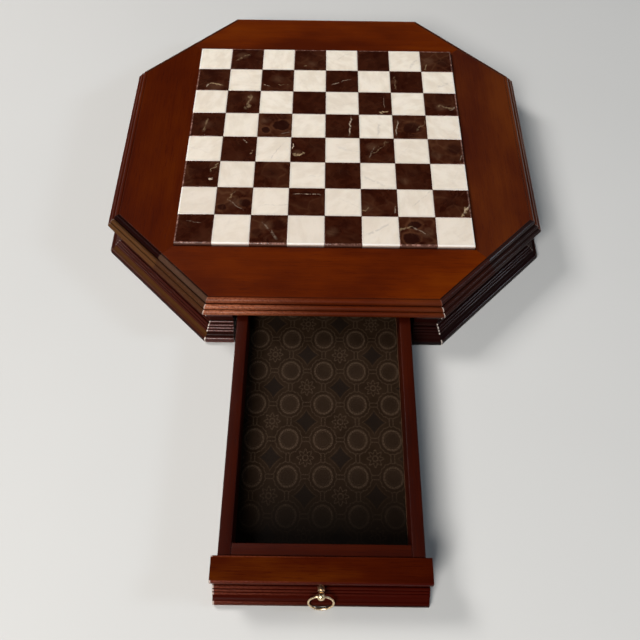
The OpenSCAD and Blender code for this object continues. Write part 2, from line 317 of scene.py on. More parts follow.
# %% Wood grain group
grain, g_in, g_out = group(
    "wood grain",
    {"Place": ("Vector", None), "Clouds": ("Float", 0.5), "Ribbons": ("Float", 0.5),
     "Fibres": ("Float", 0.3), "Pores": ("Float", 0.3)},
    {"Tone": "Float", "Pore": "Float", "Height": "Float"})


def stretched_noise(tree, place, along, scale, detail, rough=0.5):
    """Noise whose blotches are 1/along times longer in x, the grain's direction, than across it."""
    return noise(tree, vector_sum(tree, "MULTIPLY", place, (along, 1.0, 1.0)), scale, detail, rough)


clouds = stretched_noise(grain, g_in["Place"], 0.45, 17.0, 3.0, 0.55)
ribbons = stretched_noise(grain, g_in["Place"], 0.07, 190.0, 3.0, 0.6)
fibres = stretched_noise(grain, g_in["Place"], 0.025, 1300.0, 2.0)
pores = ramp(grain, stretched_noise(grain, g_in["Place"], 0.05, 1900.0, 1.0), 0.60, 0.70)
tone = 0.5
for part, share in ((clouds, "Clouds"), (ribbons, "Ribbons"), (fibres, "Fibres")):
    tone = calc(grain, "MULTIPLY_ADD", calc(grain, "SUBTRACT", part, 0.5), g_in[share], tone)
pore = times(grain, pores, g_in["Pores"])
tone = put(grain, "Clamp", {"Value": calc(grain, "SUBTRACT", tone, pore)}).outputs[0]
raised = calc(grain, "MULTIPLY_ADD", ribbons, 0.5, times(grain, fibres, 0.3))
height = calc(grain, "SUBTRACT", raised, pores)
grain.links.new(tone, g_out["Tone"])
grain.links.new(pore, g_out["Pore"])
grain.links.new(height, g_out["Height"])
print("group:", grain.name, "with", len(grain.nodes), "nodes")

# %% [markdown]
# Years of hands leave two traces on a stained moulding: the crests are rubbed a little paler, and
# grooves keep wax and dust, which makes them darker.  Both also stand in for light: the paler crests
# are partly a painted highlight, and the darker grooves partly painted shade.  The mesh carries a mark
# called `crest` that is positive on crests and negative in grooves, so the group only has to break it
# up with noise.

# %% Wear group, with painted highlight on crests and painted shade in grooves
wear, w_in, w_out = group(
    "crest wear",
    {"Color": ("Color", (0.5, 0.5, 0.5, 1)), "Rubbed": ("Color", (0.5, 0.3, 0.2, 1)),
     "Grime": ("Color", (0.01, 0.004, 0.002, 1)), "Place": ("Vector", None),
     "Rubbing": ("Float", 0.5), "Dirt": ("Float", 0.8)},
    {"Color": "Color", "Worn": "Float"})
crest = mark(wear, "crest")
patches = stretched_noise(wear, w_in["Place"], 0.55, 900.0, 4.0, 0.75)
rubbed = times(wear, ramp(wear, crest, 0.03, 0.17), ramp(wear, patches, 0.36, 0.60, 0.25, 1.0),
               w_in["Rubbing"])
paler = tinted(wear, w_in["Color"], w_in["Rubbed"], rubbed)
grimy = tinted(wear, paler, w_in["Grime"], ramp(wear, crest, -0.03, -0.22), w_in["Dirt"])
wear.links.new(grimy, w_out["Color"])
wear.links.new(rubbed, w_out["Worn"])
print("group:", wear.name, "with", len(wear.nodes), "nodes")


# %% Stained wood
BARE_WOOD = (0.78, 0.66, 0.58)
GRIT = (0.115, 0.066, 0.036)


def stained_wood(name, dark, middle, light, rough, coat, clouds=1.2, ribbons=0.35,
                 rubbed=(0.30, 0.10, 0.05), rubbing=0.0, dirt=0.8, flat_coat=0.2, specular=0.07):
    """Lacquered wood: three colours spread over the grain's tone, then an edge colour, then crest effects.

    The mark `cut` says how much a point takes the colour of the mark `edge_stain`: end-grain and
    face colours with painted highlight and painted shade in them. `dull` says how far its lacquer has gone,
    and `tip` where a mitred corner is knocked down to pale wood, partly a painted glint. Crests are
    paler as painted highlight and grooves darker as painted shade, beside the marks of hands. Where the
    lacquer has all but gone, grit sits in the wood. The clear coat is full on crests and only
    flat_coat of that on flats and in grooves.
    """
    made, tree, shader = finish_named(name, Coat_Roughness=0.12, Coat_IOR=1.5,
                                      Specular_IOR_Level=specular)
    place, crest = mark(tree, "grain", "Vector"), mark(tree, "crest")
    figure = use(tree, grain, Place=place, Clouds=clouds, Ribbons=ribbons, Fibres=0.25, Pores=0.15)
    tone = figure["Tone"]
    spread = put(tree, "ValToRGB", {"Fac": tone})
    ends = spread.color_ramp.elements
    ends[0].position, ends[0].color = 0.25, (*dark, 1)
    ends[1].position, ends[1].color = 0.78, (*light, 1)
    mid = ends.new(0.5)
    mid.color = (*middle, 1)
    cut, dull = mark(tree, "cut"), mark(tree, "dull")
    colour = tinted(tree, spread.outputs["Color"], mark(tree, "edge_stain", "Vector"),
                    cut, ramp(tree, tone, 0.15, 0.8, 1.0, 0.9))
    # Paler crests carry painted highlight and darker grooves painted shade, besides real wear.
    worn = use(tree, wear, Color=colour, Rubbed=(*rubbed, 1), Place=place,
               Rubbing=times(tree, mark(tree, "rub"), rubbing), Dirt=dirt)
    specks = stretched_noise(tree, place, 0.7, 800.0, 3.0, 0.75)
    colour = tinted(tree, worn["Color"], GRIT, ramp(tree, dull, 0.88, 1.0),
                    ramp(tree, specks, 0.54, 0.72, 0.0, 0.55))
    # Pale bare wood on corner tips, partly a painted glint.
    colour = tinted(tree, colour, BARE_WOOD, mark(tree, "tip"), ramp(tree, crest, 0.085, 0.11))
    roughness = ramp(tree, tone, 0.2, 0.8, rough + 0.06, rough - 0.03)
    roughness = calc(tree, "MULTIPLY_ADD", dull, 0.3, roughness)
    left = calc(tree, "SUBTRACT", 1.0, times(tree, dull, 0.9))
    feed(tree, shader, Base_Color=colour,
         Roughness=calc(tree, "MULTIPLY_ADD", worn["Worn"], 0.1, roughness),
         Coat_Weight=times(tree, ramp(tree, crest, 0.02, 0.15, coat * flat_coat, coat), left))
    height = figure["Height"]
    height = calc(tree, "MULTIPLY_ADD", dull, times(tree, height, 3.0), height)
    relief_bump(tree, shader, height, 0.00006, 0.5)
    return made


BOARD = ((0.060, 0.0064, 0.0002), (0.101, 0.0130, 0.0003), (0.145, 0.0245, 0.0006))
DARKER_BOARD = ((0.035, 0.0028, 0.0001), (0.059, 0.0064, 0.0001), (0.088, 0.0130, 0.0003))
REDDER_BOARD = ((0.044, 0.0048, 0.0008), (0.071, 0.0115, 0.0018), (0.103, 0.0205, 0.0030))
# The boards' rubbed colour is partly a painted highlight, and their groove darkening partly painted shade.
board_wear = dict(ribbons=0.28, rubbed=(0.55, 0.185, 0.088), rubbing=1.0, dirt=0.6)
top_finish = stained_wood("top_lacquer", *BOARD, 0.42, 0.25, clouds=1.5, specular=0.05, **board_wear)
side_finish = stained_wood("top_lacquer_darker_board", *DARKER_BOARD, 0.42, 0.08, clouds=0.9,
                           specular=0.03, **board_wear)
hazy_finish = stained_wood("top_lacquer_hazy_board", *REDDER_BOARD, 0.40, 0.40, clouds=1.5,
                           specular=0.16, **board_wear)
moulding_finish = stained_wood(
    "moulding_lacquer", (0.010, 0.0012, 0.0006), (0.020, 0.0024, 0.0010), (0.036, 0.0050, 0.0018),
    0.34, 0.45, rubbed=(0.115, 0.036, 0.029), rubbing=1.0, flat_coat=0.05, specular=0.04)
drawer_front_finish = stained_wood(
    "drawer_front_lacquer", (0.028, 0.0021, 0.0001), (0.044, 0.0046, 0.0003), (0.078, 0.0138, 0.0006),
    0.40, 0.04, clouds=1.7, dirt=0.3, rubbed=(0.125, 0.026, 0.013), rubbing=1.0, flat_coat=0.3,
    specular=0.02)
drawer_finish = stained_wood(
    "drawer_stain", (0.018, 0.0014, 0.0002), (0.030, 0.0028, 0.0004), (0.046, 0.0056, 0.0009),
    0.45, 0.10, dirt=0.4)
print("finishes:", [m.name for m in bpy.data.materials])


# %% [markdown]
# ## Top boards
#
# Four boards frame the stone board.  Each runs along one side of the square hole, and is mitred from
# the hole's corner to the middle of a cut-off corner, so one board holds one long edge and half of the
# two short edges beside it.  Its edge is worked with a quirk and three beads.  The section is drawn
# once, as arcs and straight stretches, and carried along the outline: that keeps every bead
# perfectly parallel, which an eye picks out at once on a glossy edge.

# %% The boards' section
HOLE = 125.3            # half of the hole for the stone board
REBATE = 135.3 - 0.3    # half of the rebate for the panel under it
BED = CASE + 4.5        # top of that rebate

edge_section = loop(
    (-3.1, WOOD_TOP), (-2.75, WOOD_TOP), (-2.45, 45.85), (-2.3, 45.55),
    arc(-1.05, 42.75, 2.95, 112, -12, 16),
    (1.72, 41.6), (1.6, 41.05),
    arc(3.35, 39.35, 2.2, 138, -16, 14),
    (5.3, 38.5), (5.1, 38.1),
    arc(6.15, 35.9, 2.4, 118, -44, 14),
    (7.6, 33.7), (7.3, 33.2), (7.0, CASE))
board_crest = relief(edge_section)
board_crest[:3] = 0
board_crest[-3:] = 0
print("edge section:", len(edge_section), "points, relief", board_crest.min().round(2), "to",
      board_crest.max().round(2))


# %% [markdown]
# The cut-off corners cross the grain at a slant, and end grain drinks stain, so each board's two slanted
# ends have colours of their own: one between the beads, one on the top bead and one on the two lower
# ones.  The lighter bead colours are painted highlight.  The gold on the lower beads of the left board's
# front end is a painted reflection, and the right-hand front corner is near black as painted shade.
# One end, left of the front, was never filled and looks dry and grey.  Along the front the crests are
# paler from the left: the lacquer is rubbed where a hand reaches for the drawer, and a painted highlight
# fades from there to the right, where painted shade darkens the edge.

# %% Make the boards
# Three colours for each slanted end: between the beads, the top bead, the two lower beads.  Lighter bead
# colours are painted highlight, GOLD_END's lower beads are a painted reflection, and DARK_END and
# PLUM_END, on the right-hand front corner, are near black as painted shade.
GREY_END = (0.012, 0.0014, 0.0002), (0.070, 0.034, 0.020), (0.050, 0.0165, 0.0050)
GOLD_END = (0.0060, 0.0003, 0.0001), (0.0070, 0.0003, 0.0001), (0.080, 0.0320, 0.0100)
DARK_END = (0.0090, 0.0028, 0.0024), (0.0110, 0.0040, 0.0038), (0.0100, 0.0034, 0.0030)
PLUM_END = (0.0110, 0.0026, 0.0020), (0.0240, 0.0075, 0.0065), (0.0170, 0.0048, 0.0038)
BROWN_END = (0.030, 0.0060, 0.0020), (0.060, 0.0160, 0.0050), (0.045, 0.0110, 0.0035)
ENDS = [(GREY_END, PLUM_END), (DARK_END, BROWN_END), (BROWN_END, BROWN_END), (BROWN_END, GOLD_END)]
# How far the lacquer has gone at the left and right end of the front, right, back and left board.
DULL = [(1.0, 0.85), (0.85, 0.3), (0.3, 0.3), (0.3, 0.85)]


def rubbed_at(turn, x):
    """How much a board's edge crests are lightened at x, by hands and by painted highlight: the front
    one fades from left to right, the others are even.
    """
    return 0.02 + 0.98 / (1 + np.exp((x + 48.0) / 15.0)) if turn == 0 else (0.05, 0.15, 0.0)[turn - 1]


def board_stations():
    """Where the front board's section is cut: for each station a function from `out` to a place."""
    left, front, right = side_angle(-1), side_angle(0), side_angle(1)
    steps = [("mid", -1, left, 0), ("near", -1, left, 0)]
    steps += [("corner", -1, a, 0) for a in np.linspace(left, front, 5)]
    steps += [("along", 0, front, t) for t in np.r_[0.004, np.linspace(0, 1, 9)[1:-1], 0.996]]
    steps += [("corner", 0, a, 0) for a in np.linspace(front, right, 5)]
    steps += [("near", 1, right, 0), ("mid", 1, right, 0)]
    return steps


def top_board(name, turn, seam=0.05):
    """One mitred board. Every point of the section is pushed outward from the outline at each station;
    the inner edge follows the straight side of the hole instead, and the two mitres stand half a seam
    back from their plane."""
    points, cut, rub, tip = [], [], [], []
    out = np.r_[edge_section[:, 0], -3.1]
    z = np.r_[edge_section[:, 1], CASE]
    on_edge = np.r_[np.zeros(2), np.ones(len(edge_section) - 2), np.zeros(6)]
    inside = ((REBATE, CASE), (REBATE, BED), (HOLE, BED), (HOLE, WOOD_TOP - 0.25), (HOLE + 0.25, WOOD_TOP))
    for kind, i, angle, t in board_stations():
        if kind == "mid":
            way = np.array([np.cos(angle), np.sin(angle)])
            away = np.array([-way[1], way[0]]) * (1 if i < 0 else -1)
            xy = reach_of(i, out)[:, None] * way + away * seam
        elif kind == "near":
            xy = corner(min(i, 0), out) + 0.6 * np.array([i * np.cos(np.pi / 4), np.sin(np.pi / 4)])
        elif kind == "corner":
            xy = eased(i, out, angle)
        else:
            xy = corner(-1, out) * (1 - t) + corner(0, out) * t
        x = xy[0, 0]
        ring = [np.c_[xy, z]]
        for half, level in inside:
            place = (np.array([i * half, -half]) + away * seam if kind == "mid"
                     else np.array([np.clip(x, -half, half), -half]))
            ring.append(np.r_[place, level])
        points.append(np.vstack(ring))
        round_corner = abs(angle - side_angle(0)) / np.radians(45)
        chamfer = {"along": 0.0, "corner": round_corner}.get(kind, 1.0)
        # Painted shade: towards the right, the front edge takes the darker colours of its right-hand end.
        shaded = 0.6 * np.clip((x - 20) / 90, 0, 1) if turn == 0 and kind == "along" else 0.0
        cut.append(max(chamfer, shaded) * on_edge)
        # tip: pale corner tips, partly a painted glint, strongest on the front board.
        tip.append(on_edge * (kind == "corner") * (0.45 if turn == 0 else 0.15))
        rub.append(on_edge * (1 - chamfer) * rubbed_at(turn, x))
    points = np.array(points)
    local = points.reshape(-1, 3) * mm
    faces = ring_faces(len(points), points.shape[1])
    place = local + np.array([0.31, 0.17, 0.05]) * (turn + 1)
    world = turned(local, np.radians(90.0 * turn))
    cut = np.concatenate(cut)
    crest_mark = np.tile(np.r_[board_crest, np.zeros(6)], len(points))
    z = local[:, 2] / mm
    on_crest = np.clip((crest_mark - 0.03) / 0.07, 0, 1)[:, None]
    upper = np.clip((z - 41.2) / 1.0, 0, 1)[:, None]
    # The slanted ends' crests take the lighter colours, as painted highlight.
    stains = [flat * (1 - on_crest) + on_crest * (high * upper + low * (1 - upper))
              for flat, high, low in np.array(ENDS[turn])]
    glossy_bead = np.where(z > 42.5, 0.25, 1.0) if turn == 1 else 1.0
    left_side = (local[:, 0] < 0)[:, None]
    finish = (top_finish, hazy_finish, top_finish, side_finish)[turn]
    return lay("mitred_board_" + name, world, faces, finish, "top_wood", "case", ["top_board_" + name],
               grain=place, cut=cut, edge_stain=np.where(left_side, *stains),
               dull=cut * np.where(left_side[:, 0], DULL[turn][0] * glossy_bead, DULL[turn][1]),
               rub=np.concatenate(rub), tip=np.concatenate(tip), crest=crest_mark)


for turn, side in enumerate(("front", "right", "back", "left")):
    top_board(side, turn)


# %% [markdown]
# ## Case walls and drawer front
#
# One moulding makes all the walls: a rounded lip under the top, a plain neck, four reeds stepping out
# and down, a hollow cove and a rounded base.  Neighbouring reeds meet where their circles cross.  The
# crossing point of two circles of equal radius lies on the line half way between their middles, so the
# angles at which each reed starts and ends follow from the spacing alone.

# %% The wall's section
INNER = -12.0
NECK = 1.0
REED, STEP = 1.25, 1.65  # a reed's radius, and how far outward and down the next one lies
reed_middles = [(1.12, 14.5)] + [(3.37 + STEP * k, 12.25 - STEP * k) for k in range(3)]


def reed_arcs():
    """The visible part of each reed, from the top one down, cut off where it meets the next."""
    half = np.degrees(np.arccos(STEP * 2 ** 0.5 / 2 / REED))
    parts = [arc(*reed_middles[0], REED, 85, -62, 10), (NECK + 0.25, 12.55)]
    for k, (x, z) in enumerate(reed_middles[1:]):
        start = 172 if k == 0 else 135 - half
        stop = -45 + half if k < 2 else -8
        parts.append(arc(x, z, REED, start, stop, 10)[min(k, 1):])
    return parts


def wall_section(low, high, foot):
    """The moulding's outline between two heights, from the top inner edge round to the bottom one.

    foot is the last stretch: a plain corner, or the rebate that takes the bottom panel.
    """
    lip = high - 5.0
    return loop(
        (INNER, high - 0.4), (INNER + 0.4, high), (INNER + 1.4, high), (3.2, high), (4.1, high),
        arc(4.3, high - 1.2, 1.2, 80, 0, 6), arc(4.3, lip + 1.2, 1.2, 0, -82, 6),
        (3.9, lip), (NECK + 0.5, lip + 0.05), (NECK, lip - 0.5), (NECK, lip - 1.3), (NECK, 16.6),
        (NECK, 16.0),
        *reed_arcs(),
        arc(11.02, 8.8, 3.1, 182, 262, 10), (10.75, 5.62),
        arc(11.0, 3.7, 2.0, 92, 0, 9), (13.0, low + 0.6), (12.4, low), *foot)


wall_outline = wall_section(0.0, CASE, [(INNER + 8, 0.0), (INNER + 8, 4.0), (INNER, 4.0)])
print("wall section:", len(wall_outline), "points")


# %% Make the walls
def moulded_length(name, i, stations, section, finish, body, stands_for, seed, stain=(0, 0, 0), rub=0.1,
                   cove=None, tips=None, dull=0.0):
    """A closed length of moulding on side i. stations is a list of functions from `out` to places.

    stain is a colour for the moulded face; on the case walls it is painted light and shade,
    lighter on the left and near black on the right. cove is a colour for the hollow, a painted
    reflection. The base is darker still, as painted shade, and the flat top and the inside stay as they
    are. tips has a number for each station, 1 where a corner is knocked bare with a painted glint;
    by default the box's two front corners are, and the others hardly. rub is one number,
    or one for each station, for crests lightened by hands and by painted highlight.
    """
    out, z = section[:, 0], section[:, 1]
    rings = np.array([np.c_[place(out), z] for place in stations])
    points = rings.reshape(-1, 3) * mm
    local = turned(points, -side_angle(i) - np.radians(90))
    face = (out > NECK - 0.5) & (z < z.max() - 0.05)
    count = len(stations)
    under_lip = z.max() - 5.5
    # The hollow takes cove, a painted reflection, and foot darkens the base as painted shade.
    low_down = (np.clip((9.8 - z) / 2, 0, 1) * np.clip((z - 5.2) / 1.2, 0, 1))[:, None]
    foot = 1 - 0.65 * np.clip((5.4 - z) / 1.0, 0, 1)[:, None]
    tint = (np.array(stain) * (1 - low_down) + np.array(cove or stain) * low_down) * foot
    # By default the two front corners get full pale tips with a painted glint, and the others a little.
    if tips is None:
        ends = np.array([corner(i - 1, 0), corner(i, 0)])
        here = np.array([place(np.zeros(1))[0] for place in stations])
        at_corner = np.linalg.norm(here[:, None] - ends, axis=-1).min(-1) < 0.6
        tips = at_corner * np.where(here[:, 1] < -150, 1.0, 0.2)
    return lay(name, points, ring_faces(*rings.shape[:2]), finish, "moulding_wood", body, stands_for,
               grain=local + np.array([0.37, 0.11, 0.23]) * seed,
               cut=np.tile(face * float(any(stain)), count),
               edge_stain=np.tile(tint, (count, 1)), dull=np.tile(dull * (z < under_lip), count),
               rub=np.repeat(np.broadcast_to(rub, count), len(out)), tip=np.repeat(tips, len(out)) * 0.8,
               crest=np.tile(relief(section), count))


def mitred_end(i, side, at_start):
    """Stations that round the arris between side and its neighbour, up to the mitre's own plane, and one
    a little way along the side."""
    middle, a = side_angle(i) + np.radians(22.5), side_angle(side)
    along = np.array([-np.sin(a), np.cos(a)]) * (1 if at_start else -1)
    places = [lambda out, a=a: eased(i, out, a) for a in np.linspace(middle, a, 4)]
    places += [lambda out: corner(i, out) + 0.7 * along]
    return places if at_start else places[::-1]


def flat_cut(x, open_by=0.0):
    """A station square across the front side at x, drawn out by some millimetres."""
    return lambda out: np.c_[np.full(len(out), x), -reach_of(0, out) - open_by]


# Painted light and shade for each wall's face: near black on the right, lighter towards the left.
WALL_STAIN = {1: (0.0070, 0.0012, 0.0012), 2: (0.011, 0.0018, 0.0012), 3: (0.015, 0.0022, 0.0012),
              4: (0.017, 0.0024, 0.0012), 5: (0.017, 0.0026, 0.0012), 6: (0.034, 0.0040, 0.0010),
              7: (0.035, 0.0032, 0.0005)}
OPENING = 74.25          # half of the gap in the front wall
corners = [(mitred_end(i - 1, i, True), mitred_end(i, i, False)) for i in range(8)]
# Left of the drawer: rubbed crests with painted highlight. Right of it: painted shade.
moulded_length("front_moulding_left", 0, corners[0][0] + [flat_cut(-OPENING)], wall_outline,
               moulding_finish, "case", ["wall_front_left"], 2, rub=1.0)
moulded_length("front_moulding_right", 0, [flat_cut(OPENING)] + corners[0][1], wall_outline,
               moulding_finish, "case", ["wall_front_right"], 4, rub=0.0, dull=0.7,
               stain=(0.0120, 0.0011, 0.0004))
# Each wall takes its painted light and shade, and the front-left corner's hollow a painted gold reflection.
for i, node in enumerate(("corner_wall_front_right", "wall_right", "corner_wall_back_right", "wall_back",
                          "corner_wall_back_left", "wall_left", "corner_wall_front_left"), 1):
    moulded_length(node.replace("wall", "moulding"), i, corners[i][0] + corners[i][1], wall_outline,
                   moulding_finish, "case", [node], 4 + i, stain=WALL_STAIN[i],
                   cove=(0.075, 0.028, 0.0060) if i == 7 else None, dull={1: 0.55, 7: 0.9}.get(i, 0.4))

# %% The drawer's moulded front
OPEN = 209.0             # how far the drawer stands open
HALF_FRONT = 73.5
EASE = 0.35              # how far each end is set back, so that its arrises are eased
drawer_cuts = [flat_cut(x, OPEN) for x in (-HALF_FRONT, EASE - HALF_FRONT, 1.4 - HALF_FRONT, 0.0,
                                           HALF_FRONT - EASE, HALF_FRONT)]
front_outline = wall_section(0.6, CASE - 0.6, [(INNER, 0.6)])
# The left half's crests carry rubbing and painted highlight, and the left end's arris a painted glint.
moulded_length("drawer_front_moulding", 0, drawer_cuts, front_outline,
               drawer_front_finish, "drawer", ["drawer_front"], 23, stain=(0.036, 0.0018, 0.0003),
               rub=[1.0, 1.0, 1.0, 0.15, 0.0, 0.0], tips=[0, 1, 0, 0, 0, 0])

# %% [markdown]
# ## Drawer box
#
# Two long sides, an inner front and a back, all plain boards with their arrises taken off.  A board is
# a stack of rounded rectangles: the stack narrows at the top and bottom by a quarter circle, which
# gives every edge the same small radius.

# %% Boards with eased edges
def rounded_rectangle(half_x, half_y, radius):
    """Rounded rectangles, a quarter circle at each corner. The half sizes and the radius may be arrays."""
    t = np.radians(np.arange(4)[:, None] * 90 + np.linspace(0, 90, 4)).ravel()
    sx, sy = np.repeat([[1, -1, -1, 1], [1, 1, -1, -1]], 4, axis=1)
    hx, hy, r = (np.asarray(v, float)[..., None] for v in (half_x, half_y, radius))
    return np.stack([sx * (hx - r) + r * np.cos(t), sy * (hy - r) + r * np.sin(t)], -1)


def drawer_board(name, low, high, stands_for, seed, ease=0.8, along="y"):
    """A board between two corners in millimetres, every edge rounded by `ease`, grain along one axis."""
    low, high = np.array(low, float), np.array(high, float)
    half, middle = (high - low) / 2, (high + low) / 2
    t = np.radians(np.linspace(0, 90, 4))
    inset = ease * np.r_[1 - np.sin(t), (1 - np.sin(t))[::-1]]
    z = np.r_[low[2] + ease * (1 - np.cos(t)), (high[2] - ease * (1 - np.cos(t)))[::-1]]
    radius = np.maximum(ease - inset, 0.02)
    rings = rounded_rectangle(half[0] - inset, half[1] - inset, radius)
    levels = np.broadcast_to(z[:, None, None], rings.shape[:2] + (1,))
    points = np.concatenate([rings + middle[:2], levels], -1).reshape(-1, 3) * mm
    local = turned(points, np.radians(-90)) if along == "y" else points
    return lay(name, points, ring_faces(*rings.shape[:2]), drawer_finish, "drawer_wood", "drawer",
               [stands_for], grain=local + np.array([0.29, 0.13, 0.19]) * seed,
               **{key: np.zeros(len(points)) for key in ("crest", "cut", "dull", "rub")})


FRONT = -(TOP + INNER) - OPEN              # inner face of the drawer's moulded front
BACK = FRONT + 260.0
UNDER = 4.3                                # underside of the drawer's boards
WITHIN, SIDE = 60.5, 9.0                   # half the width between its sides, and their thickness
FIT = WITHIN - 0.02
for word, x in (("left", -WITHIN - SIDE), ("right", WITHIN)):
    drawer_board("drawer_board_" + word, (x, FRONT, UNDER), (x + SIDE, BACK, 31.0),
                 "drawer_side_" + word, 5 + np.sign(x))
drawer_board("drawer_board_front", (-FIT, FRONT + 0.25, UNDER), (FIT, FRONT + 8.8, 30.9),
             "drawer_inner_front", 2, ease=0.6, along="x")
drawer_board("drawer_board_back", (-FIT, BACK - SIDE, UNDER), (FIT, BACK, 32.4),
             "drawer_back", 3, along="x")

# %% [markdown]
# ## Stone squares
#
# Thirty-two squares are white onyx with faint veins, thirty-two are dark red-brown marble.  All are
# 8 mm thick, ground level with one another and polished.  Each colour is one mesh: the squares' middles
# are an array, and one small stack of rounded rectangles is added to it.  What makes the board look
# real is that no two squares are cut from the same spot of rock, so every square carries its own turn
# and its own place in the rock as a mark.

# %% Stone square meshes
SQUARE = 31.25
rng = np.random.default_rng(8)
column, row = (v.ravel() for v in np.meshgrid(np.arange(8), np.arange(8), indexing="ij"))
middles = np.stack([(column - 3.5) * SQUARE, (3.5 - row) * SQUARE], -1)
rock_turn = rng.uniform(0, 2 * np.pi, 64)
rock_shift = rng.uniform(-1, 1, (64, 3))
tilt = rng.normal(0, 0.0009, (64, 2))
lots = rng.uniform(0, 1, (64, 3))
# The first number makes a white square greyer: a share by chance, and painted shade that grows towards
# the front and a little towards the left.
lots[:, 0] = np.clip(0.9 * row / 7 - 0.03 * (column - 3.5) + 0.3 * (lots[:, 0] - 0.5), 0, 1)
print("squares:", len(middles), "of", SQUARE, "mm")


def stone_squares(name, chosen, finish, slot, nodes, **drawn):
    """The chosen squares as one mesh. A ring of a square's stack is a rounded rectangle; the inset
    grows by a quarter circle at the top arris, and the whole top is tipped by a hair. Where a square
    lies on the board's own edge, that side's inset and drop are about three times as large."""
    half = SQUARE / 2 - 0.08
    t = np.radians(np.linspace(0, 90, 4))
    inset = np.r_[0.0, 0.0, 0.30 * (1 - np.cos(t)), 0.55, 1.6]
    drop = np.r_[8.0, 0.33, 0.30 * (1 - np.sin(t)), 0.0, 0.0]
    ring = rounded_rectangle(*(np.full(len(inset), v) for v in (half, half, 0.4)))
    count = ring.shape[0] * ring.shape[1]
    k = np.flatnonzero(chosen)
    way = np.sign(ring)[None]
    outer = np.abs(middles[k][:, None, None] + way * SQUARE) > 4 * SQUARE
    wider = np.where(outer, 3.2, 1.0)
    top = (np.arange(len(inset)) > 0)[None, :, None]
    xy = ring[None] - way * inset[None, :, None, None] * wider
    z = STONE_TOP - drop[None, :, None] * np.where(top, wider.max(-1), 1.0)
    bevel = outer.any(-1) * np.r_[0.0, 0.0, 1.0, 1.0, 1.0, 1.0, 0.0, 0.0][None, :, None]
    points = np.concatenate([xy, z[..., None]], -1).reshape(len(k), count, 3)
    lean = (points[..., :2] * tilt[k][:, None]).sum(-1)
    lean -= lean.max(1, keepdims=True)
    points[..., 2] += np.where(points[..., 2] > STONE_TOP - 1.5, lean, 0)
    c, s = np.cos(rock_turn[k])[:, None], np.sin(rock_turn[k])[:, None]
    x, y, z = np.moveaxis(points, -1, 0)
    rock = np.stack([c * x - s * y, s * x + c * y, z], -1) * mm + rock_shift[k][:, None]
    local = points * mm
    points[..., :2] += middles[k][:, None]
    faces = [f for n in range(len(k)) for f in ring_faces(*ring.shape[:2], first=n * count)]
    marks = {key: np.repeat(values[k], count, 0) for key, values in drawn.items()}
    return lay(name, points.reshape(-1, 3) * mm, faces, finish, slot, "case", nodes,
               rock=rock.reshape(-1, 3), square=local.reshape(-1, 3), lot=np.repeat(lots[k], count, 0),
               bevel=bevel.reshape(-1), **marks)


# %% [markdown]
# ### Stone finishes
#
# Marble and onyx were laid down in layers and later cracked, so their figure is noise seen through a
# second noise that bends it.  A polished stone reflects like glass, with a shader index of about 1.5.
#
# Noise alone makes every square look alike.  A person who picks tiles sees a curl here and a dark pebble
# there, so a few such features are listed.  A feature is one or two marks of three numbers on a
# square's points, and a group turns them into a mask: `streak` bends a short line with noise, and
# `pebble` draws a rough disc.

# %% Groups for hand-placed features
def from_middle(tree, place, middle):
    """The way to a place from a middle, whose x and y are sockets."""
    flat = put(tree, "CombineXYZ", {0: middle[0], 1: middle[1]}).outputs[0]
    return vector_sum(tree, "SUBTRACT", place, flat)


streak, k_in, k_out = group(
    "streak", {"Local": ("Vector", None), "Middle": ("Vector", None), "Form": ("Vector", None),
               "Bend": ("Float", 0.003)}, {"Mask": "Float"})
middle, form = split(streak, k_in["Middle"]), split(streak, k_in["Form"])
flat = from_middle(streak, k_in["Local"], middle)
flat = put(streak, "VectorRotate", {"Vector": flat, "Angle": times(streak, middle[2], -1.0)},
           rotation_type="Z_AXIS").outputs[0]
shifted = vector_sum(streak, "ADD", flat, k_in["Middle"])
wander = times(streak, calc(streak, "SUBTRACT", noise(streak, shifted, 170.0, 3.0), 0.5), k_in["Bend"])
parts = split(streak, flat)
across = calc(streak, "ABSOLUTE", calc(streak, "ADD", parts[1], wander))
swell = ramp(streak, noise(streak, shifted, 420.0, 2.0), 0.33, 0.52)
ends = ramp(streak, calc(streak, "ABSOLUTE", parts[0]), form[0], times(streak, form[0], 0.6))
mask = times(streak, ramp(streak, across, form[1], 0.0), swell, ends, form[2])
streak.links.new(mask, k_out["Mask"])

pebble, p_in, p_out = group(
    "pebble", {"Local": ("Vector", None), "Disc": ("Vector", None), "Soft": ("Float", 0.25)},
    {"Mask": "Float", "Halo": "Float"})
disc = split(pebble, p_in["Disc"])
flat = vector_sum(pebble, "MULTIPLY", from_middle(pebble, p_in["Local"], disc), (1.0, 1.15, 0.0))
dent = noise(pebble, vector_sum(pebble, "ADD", p_in["Local"], p_in["Disc"]), 130.0, 2.0)
far = put(pebble, "VectorMath", {0: flat}, operation="LENGTH").outputs["Value"]
far = calc(pebble, "MULTIPLY_ADD", calc(pebble, "SUBTRACT", dent, 0.5), 0.006, far)
near_by = times(pebble, disc[2], calc(pebble, "SUBTRACT", 1.0, p_in["Soft"]))
halo = ramp(pebble, calc(pebble, "ABSOLUTE", calc(pebble, "SUBTRACT", far, disc[2])), 0.0022, 0.0)
halo = times(pebble, halo, calc(pebble, "GREATER_THAN", disc[2], 0.001))
pebble.links.new(ramp(pebble, far, disc[2], near_by), p_out["Mask"])
pebble.links.new(halo, p_out["Halo"])
print("groups:", streak.name, pebble.name)


# %% White onyx
def edge_distance(tree):
    """How far a square's point lies from its middle lines, in metres: the larger of |x| and |y|."""
    parts = split(tree, mark(tree, "square", "Vector"))
    return calc(tree, "MAXIMUM", calc(tree, "ABSOLUTE", parts[0]), calc(tree, "ABSOLUTE", parts[1]))


